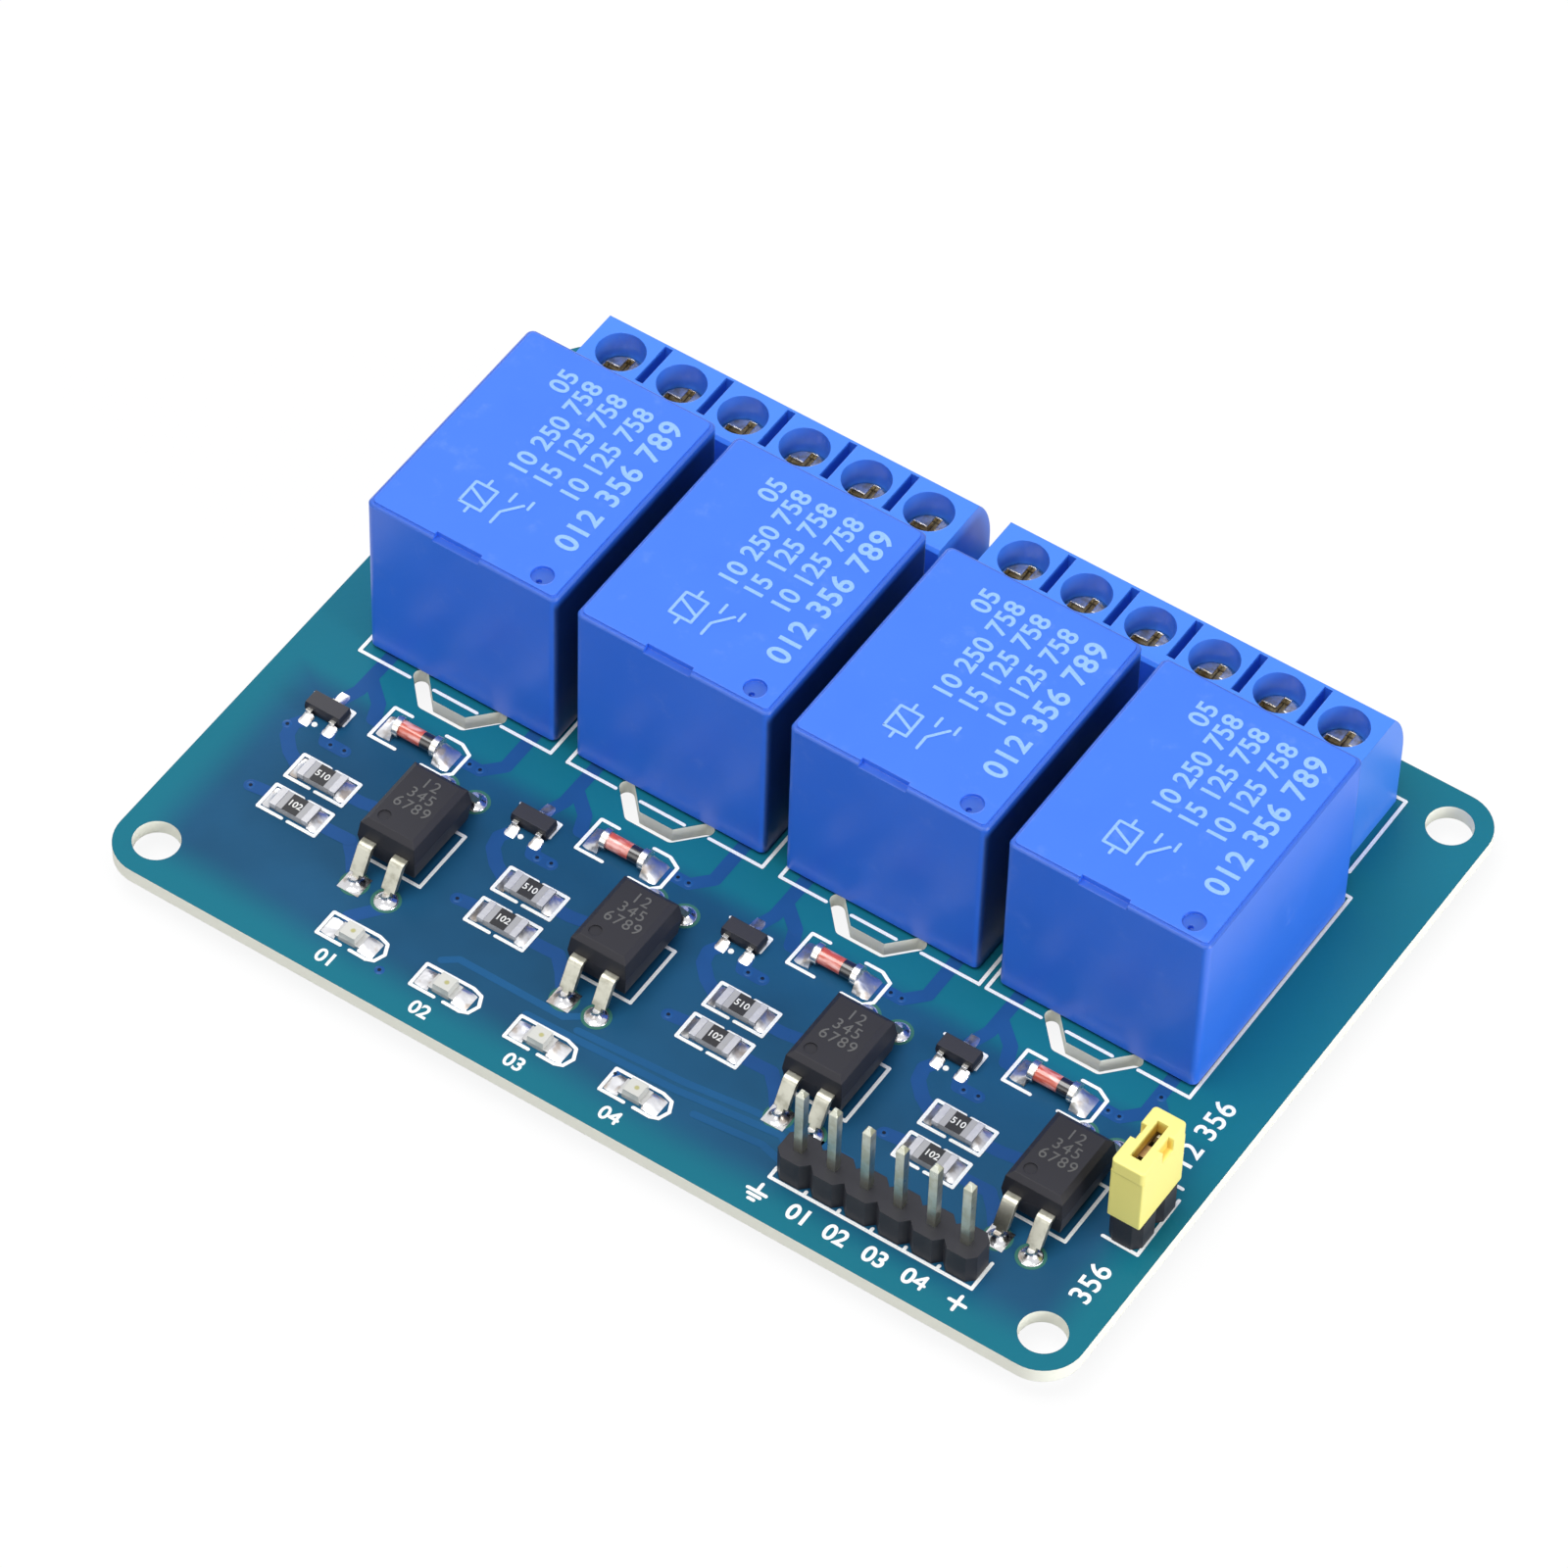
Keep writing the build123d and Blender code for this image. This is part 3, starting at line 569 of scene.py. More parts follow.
def stroke_tree():
    """Flat strokes with sloped sides and round ends along loose edges."""
    graph, given = geometry_tree("stroke", "Width", "Height", "Slope")
    width, height, slope = given.other("Width"), given.other("Height"), given.other("Slope")
    rise = graph.node("ShaderNodeCombineXYZ", {}, {"Z": height * 0.5})
    raised = graph.node("GeometryNodeSetPosition", {}, {"Geometry": given, "Offset": rise})
    runs = graph.node("GeometryNodeMeshToCurve", {}, {0: raised})
    runs = graph.node("GeometryNodeSetCurveNormal", {"mode": "Z_UP"}, {0: runs})
    sizes = {"Bottom Width": width, "Top Width": width - slope * 2, "Height": height, "Offset": 0.0}
    section = graph.node("GeometryNodeCurvePrimitiveQuadrilateral", {"mode": "TRAPEZOID"}, sizes)
    sizes = {"Curve": runs, "Profile Curve": section, "Fill Caps": True}
    strips = graph.node("GeometryNodeCurveToMesh", {}, sizes)
    ends = graph.node("GeometryNodeMergeByDistance", {}, {0: given, "Distance": 0.01 * MM})
    # The buttons stay a little inside the strips above and below, so that no two faces share a plane
    inset = 0.15
    shaded_inside = graph.node("ShaderNodeCombineXYZ", {}, {"Z": height * inset})
    ends = graph.node("GeometryNodeSetPosition", {}, {"Geometry": ends, "Offset": shaded_inside})
    sizes = {
        "Vertices": 14, "Radius Top": width * 0.5 - slope, "Radius Bottom": width * 0.5,
        "Depth": height * (1 - 2 * inset),
    }
    button = graph.node("GeometryNodeMeshCone", {}, sizes)
    buttons = graph.node("GeometryNodeInstanceOnPoints", {}, {"Points": ends, "Instance": button})
    both = graph.node("GeometryNodeJoinGeometry", {}, {0: [strips, buttons]})
    return close_tree(graph, both, given)


# How hollow a solder fillet is
FILLET_HOLLOW = 2.4


def joint_tree():
    """Solder fillets that rise from a round land up a pin, one on each point."""
    graph, given = geometry_tree("pin joint", "Land Radius", "Pin Radius", "Rise", "Tilt")
    land, pin = given.other("Land Radius"), given.other("Pin Radius")
    tip = graph.node("ShaderNodeCombineXYZ", {}, {"Z": given.other("Rise")})
    core = graph.node("GeometryNodeCurvePrimitiveLine", {}, {"Start": (0, 0, 0), "End": tip})
    core = graph.node("GeometryNodeResampleCurve", {}, {"Curve": core, "Count": 8})
    factor = graph.node("GeometryNodeSplineParameter", {}, {}, "Factor")
    girth = pin + (land - pin) * (1 - factor) ** FILLET_HOLLOW
    ring = graph.node("GeometryNodeCurvePrimitiveCircle", {}, {"Resolution": 18, "Radius": 1.0})
    sockets = {"Curve": core, "Profile Curve": ring, "Scale": girth, "Fill Caps": True}
    fillet = graph.node("GeometryNodeCurveToMesh", {}, sockets)
    turn = graph.node("ShaderNodeCombineXYZ", {}, {"X": given.other("Tilt")})
    return close_with_copies(graph, fillet, given, Rotation=turn)


def mound_tree():
    """Solder mounds that slope down from the end of a chip to its land, one on each point."""
    graph, given = geometry_tree("mound", "Length", "Width", "Rise")
    length, width, rise = given.other("Length"), given.other("Width"), given.other("Rise")
    sockets = {"Size": (1.0, 1.0, 1.0), "Vertices X": 8, "Vertices Y": 8, "Vertices Z": 2}
    grid = graph.node("GeometryNodeMeshCube", {}, sockets)
    where = graph.node("GeometryNodeInputPosition")
    axes = graph.node("ShaderNodeSeparateXYZ", {}, {0: where})
    # Nought at the chip and one at the tip; from minus one to one across
    along = axes + 0.5
    across = axes.other(1) * 2
    above = axes.other(2) > 0
    # The hollow slope from the chip, the round sides, and the steep lip at the tip, where it narrows a little
    slope = (1 - along) ** 1.7 * 0.86 + 0.14
    round_side = (1 - abs(across) ** 4) * 0.85 + 0.15
    lip = (1 - along ** 8) * 0.8 + 0.2
    height = above * rise * slope * round_side * lip
    narrowing = 1 - along ** 6 * 0.12
    spot = graph.node("ShaderNodeCombineXYZ", {}, {
        "X": along * length, "Y": across * narrowing * width * 0.5, "Z": height,
    })
    mound = graph.node("GeometryNodeSetPosition", {}, {"Geometry": grid, "Position": spot})
    heading = graph.node("GeometryNodeInputNamedAttribute", {"data_type": "FLOAT"}, {"Name": "heading"})
    turn = graph.node("ShaderNodeCombineXYZ", {}, {"Z": heading})
    return close_with_copies(graph, mound, given, Rotation=turn)


def disc_tree():
    """Flat round buttons with sloped sides, one on each point."""
    graph, given = geometry_tree("disc", "Radius", "Height", "Slope")
    radius = given.other("Radius")
    sizes = {
        "Vertices": 24, "Radius Top": radius - given.other("Slope"), "Radius Bottom": radius,
        "Depth": given.other("Height"),
    }
    return close_with_copies(graph, graph.node("GeometryNodeMeshCone", {}, sizes), given)


# Smooth pieces keep their edges from this angle on
SHARP_FROM = math.radians(50)


def grow(name, tree, guide, sizes, material, body="board", smooth=False):
    """Grow a piece on its guide with a tree and keep the result as a plain mesh."""
    grower = bpy.data.objects.new(name + "_guide", guide)
    modifier = grower.modifiers.new("Tree", "NODES")
    modifier.node_group = tree
    given = {label: size if label == "Tilt" else size * MM for label, size in sizes.items()}
    given["Material"] = material
    for item in tree.interface.items_tree:
        if item.item_type == "SOCKET" and item.in_out == "INPUT" and item.name in given:
            modifier[item.identifier] = given[item.name]
    bpy.context.scene.collection.objects.link(grower)
    shown = grower.evaluated_get(bpy.context.evaluated_depsgraph_get())
    mesh = bpy.data.meshes.new_from_object(shown)
    grower.modifiers.remove(modifier)
    bpy.data.objects.remove(grower)
    if not mesh.polygons:
        raise RuntimeError(f"{name}: its tree gave no faces")
    outwards(mesh)
    if smooth:
        mesh.shade_smooth()
        mesh.set_sharp_from_angle(angle=SHARP_FROM)
    else:
        mesh.shade_flat()
    return keep(name, mesh, body, material)


def plate(corners, bottom, thickness):
    """A flat plate from its corners, in millimetres."""
    shell = bmesh.new()
    face = shell.faces.new([shell.verts.new((x, y, bottom)) for x, y in corners])
    raised = bmesh.ops.extrude_face_region(shell, geom=[face])
    moved = [v for v in raised["geom"] if isinstance(v, bmesh.types.BMVert)]
    bmesh.ops.translate(shell, verts=moved, vec=(0, 0, thickness))
    mesh = bpy.data.meshes.new("plate")
    shell.to_mesh(mesh)
    shell.free()
    return mesh


def rectangle(spot, width, depth):
    """Corners of a rectangle about a spot."""
    x, y = spot
    return [(x + i * width / 2, y + j * depth / 2) for i, j in ((-1, -1), (1, -1), (1, 1), (-1, 1))]


def joined(meshes):
    """One mesh of several, in metres."""
    shell = bmesh.new()
    for mesh in meshes:
        shell.from_mesh(mesh)
        bpy.data.meshes.remove(mesh)
    bmesh.ops.recalc_face_normals(shell, faces=shell.faces)
    whole = bpy.data.meshes.new("whole")
    shell.to_mesh(whole)
    shell.free()
    return to_metres(whole)


# Thickness of printed figures, in millimetres
INK = 0.02
THIN_INK = 0.012


def digits(words, size, weight=0.0, thickness=INK, align="CENTER", spacing=1.0):
    """A line of figures about its middle as a thin solid, in millimetres."""
    curve = bpy.data.curves.new("figures", "FONT")
    curve.body = words
    curve.size = size
    curve.offset = weight
    curve.extrude = thickness / 2
    curve.resolution_u = 6
    curve.align_x = align
    curve.align_y = "CENTER"
    curve.space_character = spacing
    holder = bpy.data.objects.new("figures", curve)
    bpy.context.scene.collection.objects.link(holder)
    shown = holder.evaluated_get(bpy.context.evaluated_depsgraph_get())
    mesh = bpy.data.meshes.new_from_object(shown)
    bpy.data.objects.remove(holder)
    return mesh


def placed(mesh, x, y, z, turn=0.0):
    """A mesh turned about Z, then moved, in millimetres."""
    mesh.transform(Matrix.Translation((x, y, z)) @ Matrix.Rotation(math.radians(turn), 4, "Z"))
    return mesh


def shifted(line, x, y=0.0):
    """A line moved by x and y."""
    return [(u + x, v + y) for u, v in line]


# Settings

def length(name, description, default):
    return bpy.props.FloatProperty(
        name=name, description=description, default=default * MM, min=0.0, precision=5,
        unit="LENGTH", subtype="DISTANCE",
    )


def colour(name, description, default):
    return bpy.props.FloatVectorProperty(
        name=name, description=description, default=default, size=3, min=0.0, max=1.0, subtype="COLOR",
    )


def amount(name, description, default):
    return bpy.props.FloatProperty(name=name, description=description, default=default, min=0.0)


class BoardColours(bpy.types.PropertyGroup):
    """Colours of the board and what is printed and soldered on it."""

    mask: colour("Mask", "Lacquer over the board's face", (0.011, 0.082, 0.178))
    rim: colour("Rim", "Lacquer along the board's rim, where no copper lies below", (0.007, 0.147, 0.21))
    laminate: colour("Laminate", "Sawn edges of the board and its slots", (0.97, 0.98, 0.88))
    thin_track: colour("Thin track", "Lacquer over the long signal tracks", (0.011, 0.083, 0.205))
    track: colour("Track", "Lacquer over copper", (0.012, 0.068, 0.215))
    print_white: colour("Print", "Ink on the board", (0.9, 0.92, 0.92))
    solder: colour("Solder", "Bright solder", (0.66, 0.66, 0.68))
    tin: colour("Tin", "Plated leads and caps", (0.72, 0.7, 0.65))
    halo: colour("Halo", "Bare laminate round a land", (0.035, 0.135, 0.105))


class PartColours(bpy.types.PropertyGroup):
    """Colours of the parts on the board."""

    relay: colour("Relay", "Relay covers", (0.032, 0.168, 0.84))
    relay_print: colour("Relay print", "Ink on the relay covers", (0.26, 0.47, 0.92))
    terminal: colour("Terminal", "Terminal housings", (0.05, 0.222, 0.84))
    screw: colour("Screw", "Clamp screws", (0.86, 0.82, 0.68))
    brass: colour("Brass", "Clamp cages and contact strip", (0.72, 0.52, 0.28))
    chip: colour("Chip", "Moulded black bodies", (0.017, 0.0165, 0.022))
    chip_print: colour("Chip print", "Ink on the optocouplers", (0.1, 0.1, 0.098))
    glass: colour("Glass", "Diode glass", (0.6, 0.09, 0.045))
    cap: colour("Cap", "Jumper cap", (0.96, 0.88, 0.26))
    header: colour("Header", "Header bars", (0.022, 0.022, 0.028))
    lens: colour("Lens", "Indicator lenses", (0.6, 0.6, 0.56))


class PrintSizes(bpy.types.PropertyGroup):
    """Sizes of the printing."""

    line: length("Line", "Width of a printed line on the board", 0.26)
    thickness: length("Thickness", "Thickness of the ink", 0.02)
    mark_line: length("Mark line", "Width of a printed line on a relay", 0.22)
    label: length("Label", "Height of the figures by the header", 1.75)
    row: length("Row", "Height of the small rows on a relay", 2.0)
    wide_row: length("Wide row", "Height of the large row on a relay", 2.35)


class CopperSizes(bpy.types.PropertyGroup):
    """Sizes of the tracks and solder."""

    wide: length("Wide track", "Width of the tracks between the parts", 1.0)
    thin: length("Thin track", "Width of the long signal tracks", 0.55)
    power: length("Power track", "Width of the tracks to the terminals", 2.2)
    thickness: length("Thickness", "How far a track stands proud", 0.008)
    via: length("Via", "Radius of a via's ring", 0.36)
    land: length("Land", "Radius of an optocoupler's land", 0.85)
    joint: length("Joint", "Height of a solder joint under the board", 1.1)


class StageSettings(bpy.types.PropertyGroup):
    """Floor, lamps and camera."""

    floor: colour("Floor", "Plain floor as it is seen", (0.9, 0.9, 0.9))
    bounce: colour("Bounce", "Plain floor as it lights the object", (0.45, 0.45, 0.45))
    top_lamp: amount("Top lamp", "Power of the large lamp above", 4.1)
    side_lamp: amount("Side lamp", "Power of the lamp on the right", 3.8)
    back_lamp: amount("Back lamp", "Power of the lamp behind on the left", 1.2)
    front_lamp: amount("Front lamp", "Power of the lamp in front", 0.65)
    sky: amount("Sky", "Strength of the even light from all round", 0.18)


PROPERTY_GROUPS = {
    "board_colours": BoardColours, "part_colours": PartColours, "print_sizes": PrintSizes,
    "copper_sizes": CopperSizes, "stage_settings": StageSettings,
}


BRASS_STAIN = (0.5, 0.34, 0.18)


class DressBoard(bpy.types.Operator):
    """Lacquer, laminate edges and slots of the bare board"""

    bl_idname = "relay.dress_board"
    bl_label = "Dress Board"

    def execute(self, context):
        board = context.scene.relay_board_colours
        lacquer = finish("solder_mask", paint_mask, mask=board.mask, rim=board.rim, laminate=board.laminate)
        dress(lacquer, "circuit_board")
        return {"FINISHED"}


class DressRelays(bpy.types.Operator):
    """Relay covers and the works inside them"""

    bl_idname = "relay.dress_relays"
    bl_label = "Dress Relays"

    def execute(self, context):
        board = context.scene.relay_board_colours
        parts = context.scene.relay_part_colours
        cover = finish(
            "relay_plastic", paint_cover, colour=parts.relay, rough=0.26, grain_size=0.12, round_edges=0.12,
            shine=0.6,
        )
        base = finish(
            "base_plastic", paint_moulded, colour=(0.03, 0.035, 0.05), rough=0.45, grain_size=0.12,
            round_edges=0.05,
        )
        coil = finish("winding_copper", paint_coil, winding=(0.55, 0.2, 0.08), bobbin=(0.75, 0.72, 0.62))
        iron = finish(
            "soft_iron", paint_metal, colour=(0.62, 0.63, 0.65), stain=(0.46, 0.46, 0.47), rough=0.26,
            grain_size=0.2, round_edges=0.08,
        )
        pins = finish(
            "tinned_pin", paint_metal, colour=board.tin, stain=(0.6, 0.58, 0.52), rough=0.2, grain_size=0.15,
            round_edges=0.05,
        )
        looks = {"case": cover, "base": base, "coil": coil, "yoke": iron, "armature": iron, "pins": pins}
        for part, look in looks.items():
            dress(look, *each("relay_" + part, CHANNELS))
        return {"FINISHED"}


class DressTerminals(bpy.types.Operator):
    """Terminal housings, clamp cages and screws"""

    bl_idname = "relay.dress_terminals"
    bl_label = "Dress Terminals"

    def execute(self, context):
        parts = context.scene.relay_part_colours
        housing = finish(
            "terminal_plastic", paint_moulded, colour=parts.terminal, rough=0.3, grain_size=0.14,
            round_edges=0.1,
        )
        dress(housing, *each("terminal_housing", MODULES))
        brass = finish(
            "clamp_brass", paint_metal, colour=parts.brass, stain=BRASS_STAIN, rough=0.24, grain_size=0.15,
            round_edges=0.06,
        )
        dress(brass, *each("terminal_clamps", MODULES))
        screw = finish(
            "screw_steel", paint_screw, colour=parts.screw, stain=(0.42, 0.34, 0.2), rough=0.14,
            grain_size=0.12, round_edges=0.14,
        )
        dress(screw, *each("terminal_screw", range(1, len(WAYS) + 1)))
        return {"FINISHED"}


class DressSmallParts(bpy.types.Operator):
    """Optocouplers, transistors, diodes, resistors and indicators"""

    bl_idname = "relay.dress_small_parts"
    bl_label = "Dress Small Parts"

    def execute(self, context):
        board = context.scene.relay_board_colours
        parts = context.scene.relay_part_colours
        chip = finish(
            "chip_black", paint_moulded, colour=parts.chip, rough=0.4, grain_size=0.1, round_edges=0.07,
            shine=0.3,
        )
        dress(chip, *each("optocoupler", CHANNELS))
        leads = finish(
            "tinned_lead", paint_metal, colour=(0.47, 0.46, 0.39), stain=(0.32, 0.31, 0.25), rough=0.3,
            grain_size=0.15, round_edges=0.06,
        )
        dress(leads, "optocoupler_leads")
        transistor = finish("transistor_black", paint_transistor, black=parts.chip, tin=board.tin)
        dress(transistor, "transistors")
        diode = finish("red_glass", paint_diode, glass=parts.glass, band=(0.015, 0.012, 0.012), tin=board.tin)
        dress(diode, "diodes")
        resistor = finish(
            "resistor_black", paint_resistor, black=(0.012, 0.012, 0.014), ceramic=(0.4, 0.4, 0.41),
            tin=(0.5, 0.5, 0.52),
        )
        dress(resistor, "resistors")
        indicator = finish(
            "clear_lens", paint_indicator, lens=parts.lens, carrier=(0.5, 0.49, 0.46), tin=(0.55, 0.55, 0.54),
        )
        dress(indicator, "indicator_leds")
        return {"FINISHED"}


class DressHeaders(bpy.types.Operator):
    """Header bars, their pins, and the jumper cap with its strip"""

    bl_idname = "relay.dress_headers"
    bl_label = "Dress Headers"

    def execute(self, context):
        parts = context.scene.relay_part_colours
        bar = finish(
            "header_plastic", paint_moulded, colour=parts.header, rough=0.42, grain_size=0.1,
            round_edges=0.07, shine=0.3,
        )
        dress(bar, "header_housing", "jumper_header_housing")
        pins = finish(
            "pin_metal", paint_metal, colour=(0.6, 0.62, 0.55), stain=(0.48, 0.48, 0.38), rough=0.22,
            grain_size=0.12, round_edges=0.05,
        )
        dress(pins, "header_pins", "jumper_header_pins")
        cap = finish("cap_plastic", paint_cap, colour=parts.cap, depth_colour=(0.82, 0.55, 0.09), rough=0.36)
        dress(cap, "jumper_cap")
        strip = finish(
            "strip_brass", paint_metal, colour=parts.brass, stain=BRASS_STAIN, rough=0.24, grain_size=0.12,
            round_edges=0.04,
        )
        dress(strip, "jumper_contact")
        return {"FINISHED"}


# Copper on the board's face: tracks and vias from the middle of a channel, then those that don't repeat
CHANNEL_TRACKS = (
    [(-7.3, -11.0), (-7.78, -11.8), (-7.55, -12.8), (-6.6, -13.8), (-5.3, -14.6)],
    [(-5.4, -11.0), (-5.1, -11.8), (-3.6, -11.8)],
    [(-7.0, -17.65), (-5.6, -17.45)],
    [(-6.4, -8.4), (-5.85, -6.9), (-5.8, -3.0)],
    [(-5.8, -5.6), (-4.1, -7.1), (-3.6, -8.4), (-2.4, -8.4)],
    [(2.4, -8.2), (3.7, -7.95), (4.8, -7.95), (6.0, -6.7), (6.0, 0.8)],
    [(-1.3, -14.7), (0.0, -14.65), (1.4, -14.4), (3.6, -14.4)],
    [(-1.3, -17.8), (0.2, -17.75), (1.1, -17.7), (2.1, -18.7), (3.4, -20.4)],
)
CHANNEL_VIAS = ((-4.67, -11.84), (-3.62, -11.72), (3.9, -7.9), (4.75, -7.9), (-7.0, -17.65))
SIGNAL_TRACKS = (
    [(-13.6, -22.4), (-12.65, -21.7), (-4.4, -21.7), (-3.3, -20.9), (-2.7, -20.6)],
    [(-6.5, -22.9), (4.9, -22.45), (9.7, -21.9), (12.6, -21.6), (14.2, -22.6)],
    [(-3.0, -22.1), (5.2, -21.6), (9.9, -21.0), (13.2, -20.7), (17.4, -20.7), (17.7, -22.4)],
    [(7.0, -23.4), (12.0, -22.9), (13.6, -23.3)],
    [(31.0, -5.0), (33.6, -7.6), (33.6, -14.0)],
)
LONE_VIAS = ((31.06, -5.05), (-16.44, -25.4), (1.0, -23.6), (-33.6, -12.0))
STUB_TRACK = [(-19.22, -21.1), (-20.68, -22.92)]

# Copper under the board: from each contact to its terminal, and the supply with a branch to each coil
POWER_TRACKS = ([(-6.0, 13.0), (-6.0, 16.5)], [(0.0, -1.2), (0.0, 17.0)], [(6.0, 13.0), (6.0, 16.5)])
COIL_BRANCH = [(-6, 0.8), (-6, -4.6), (-8.2, -6.6)]
SUPPLY_TRACK = [(-33.7, -6.6), (33.7, -6.6)]


def channel_spots(spots):
    """The spots of one channel, repeated in every channel."""
    return [(relay.x + x, y) for relay in RELAYS for x, y in spots]


def channel_lines(lines):
    """The lines of one channel, repeated in every channel."""
    return [shifted(line, relay.x) for relay in RELAYS for line in lines]


def paint_lacquer(graph, colour):
    """Lacquer over copper: bluer than the board, with slow ripples."""
    cloud = graph.noise(3.0, 2.0)
    return {
        "Base Color": graph.blend(cloud, opaque(colour), opaque(colour, 1.25)),
        "Roughness": 0.28 + cloud * 0.1,
        "Specular IOR Level": 0.14,
        "Normal": graph.relief(graph.noise(0.7, 2.0), 0.01),
    }


class AddTracks(bpy.types.Operator):
    """Copper tracks under the lacquer, on both faces"""

    bl_idname = "relay.add_tracks"
    bl_label = "Add Tracks"

    def execute(self, context):
        board = context.scene.relay_board_colours
        copper = context.scene.relay_copper_sizes
        lacquer = finish("lacquer_on_copper", paint_lacquer, colour=board.track)
        thickness = copper.thickness / MM
        tree = stroke_tree()
        sizes = {"Width": copper.wide / MM, "Height": thickness, "Slope": 0.06}
        guide = guide_lines(channel_lines(CHANNEL_TRACKS) + [STUB_TRACK], TOP)
        grow("channel_tracks", tree, guide, sizes, lacquer)
        sizes["Width"] = copper.thin / MM
        faint = finish("lacquer_on_thin_copper", paint_lacquer, colour=board.thin_track)
        grow("signal_tracks", tree, guide_lines(SIGNAL_TRACKS, TOP), sizes, faint)
        routes = [line + [(way, WELL_Y)] for line, way in zip(channel_lines(POWER_TRACKS), WAYS)]
        branches = channel_lines([COIL_BRANCH])
        below = (
            ("power_tracks", routes, copper.power),
            ("supply_tracks", branches + [SUPPLY_TRACK], copper.wide),
        )
        for name, lines, width in below:
            guide = guide_lines(lines, UNDER - thickness, -RUN_STEP)
            grow(name, tree, guide, sizes | {"Width": width / MM}, lacquer)
        return {"FINISHED"}


# A via's ring stands proud of the tracks, and a dark disc on it is painted shade for its bore
VIA_RISE = 0.03
VIA_BORE_SHADE = {"Radius": 0.14, "Height": 0.02, "Slope": 0.02}


class AddVias(bpy.types.Operator):
    """Small plated holes in the tracks: raised rings, each with a dark disc of painted shade for its bore"""

    bl_idname = "relay.add_vias"
    bl_label = "Add Vias"

    def execute(self, context):
        board = context.scene.relay_board_colours
        copper = context.scene.relay_copper_sizes
        spots = channel_spots(CHANNEL_VIAS) + list(LONE_VIAS)
        thickness = copper.thickness / MM
        tree = disc_tree()
        ring = finish("via_lacquer", paint_lacquer, colour=opaque(board.track, 1.15))
        sizes = {"Radius": copper.via / MM, "Height": thickness + VIA_RISE, "Slope": 0.12}
        grow("via_rings", tree, guide_points(spots, TOP), sizes, ring)
        # Painted shade: a near-black disc on each ring stands for the shade in its bore
        bore_shade = finish("via_bore", paint_lacquer, colour=(0.004, 0.012, 0.03))
        guide = guide_points(spots, TOP + thickness + VIA_RISE - 0.005)
        grow("via_bores", tree, guide, VIA_BORE_SHADE, bore_shade)
        return {"FINISHED"}


def chip_ends(spots, reach):
    """Both ends of chips that lie along X, with the way each end faces."""
    ends = [(x + side * reach, y) for x, y in spots for side in (1, -1)]
    return ends, [0.0, math.pi] * len(spots)


SOLDER_SHADE = (0.42, 0.37, 0.33)
# Solder at both ends of a chip: from its middle to the mound, then the mound's length, width and rise
CHIP_MOUNDS = {
    "resistor_solder": (1.5, 0.68, 1.8, 0.5),
    "diode_solder": (1.7, 1.2, 2.0, 0.8),
    "indicator_solder": (0.92, 1.15, 1.55, 0.34),
}
# Solder at a transistor's feet: their places along X, their side, then the mound's length, width and rise
FOOT_MOUNDS = {
    "transistor_solder_front": ((-0.95, 0.95), -1, 0.88, 0.86, 0.38),
    "transistor_solder_rear": ((0.0,), 1, 1.35, 0.86, 0.38),
}
FOOT_REACH = 0.78
# A relay's pins from its middle: the coil's and the contacts' rows, and how far to each side
COIL_ROW, CONTACT_ROW, PIN_SIDE = -5.4, 6.8, 6.0
COMMON_PIN_Y = low("relay_pins_1").y + 0.2
LAND_THICKNESS = 0.05


def mound_sizes(length, width, rise):
    """Inputs of the mound's tree."""
    return {"Length": length, "Width": width, "Rise": rise}


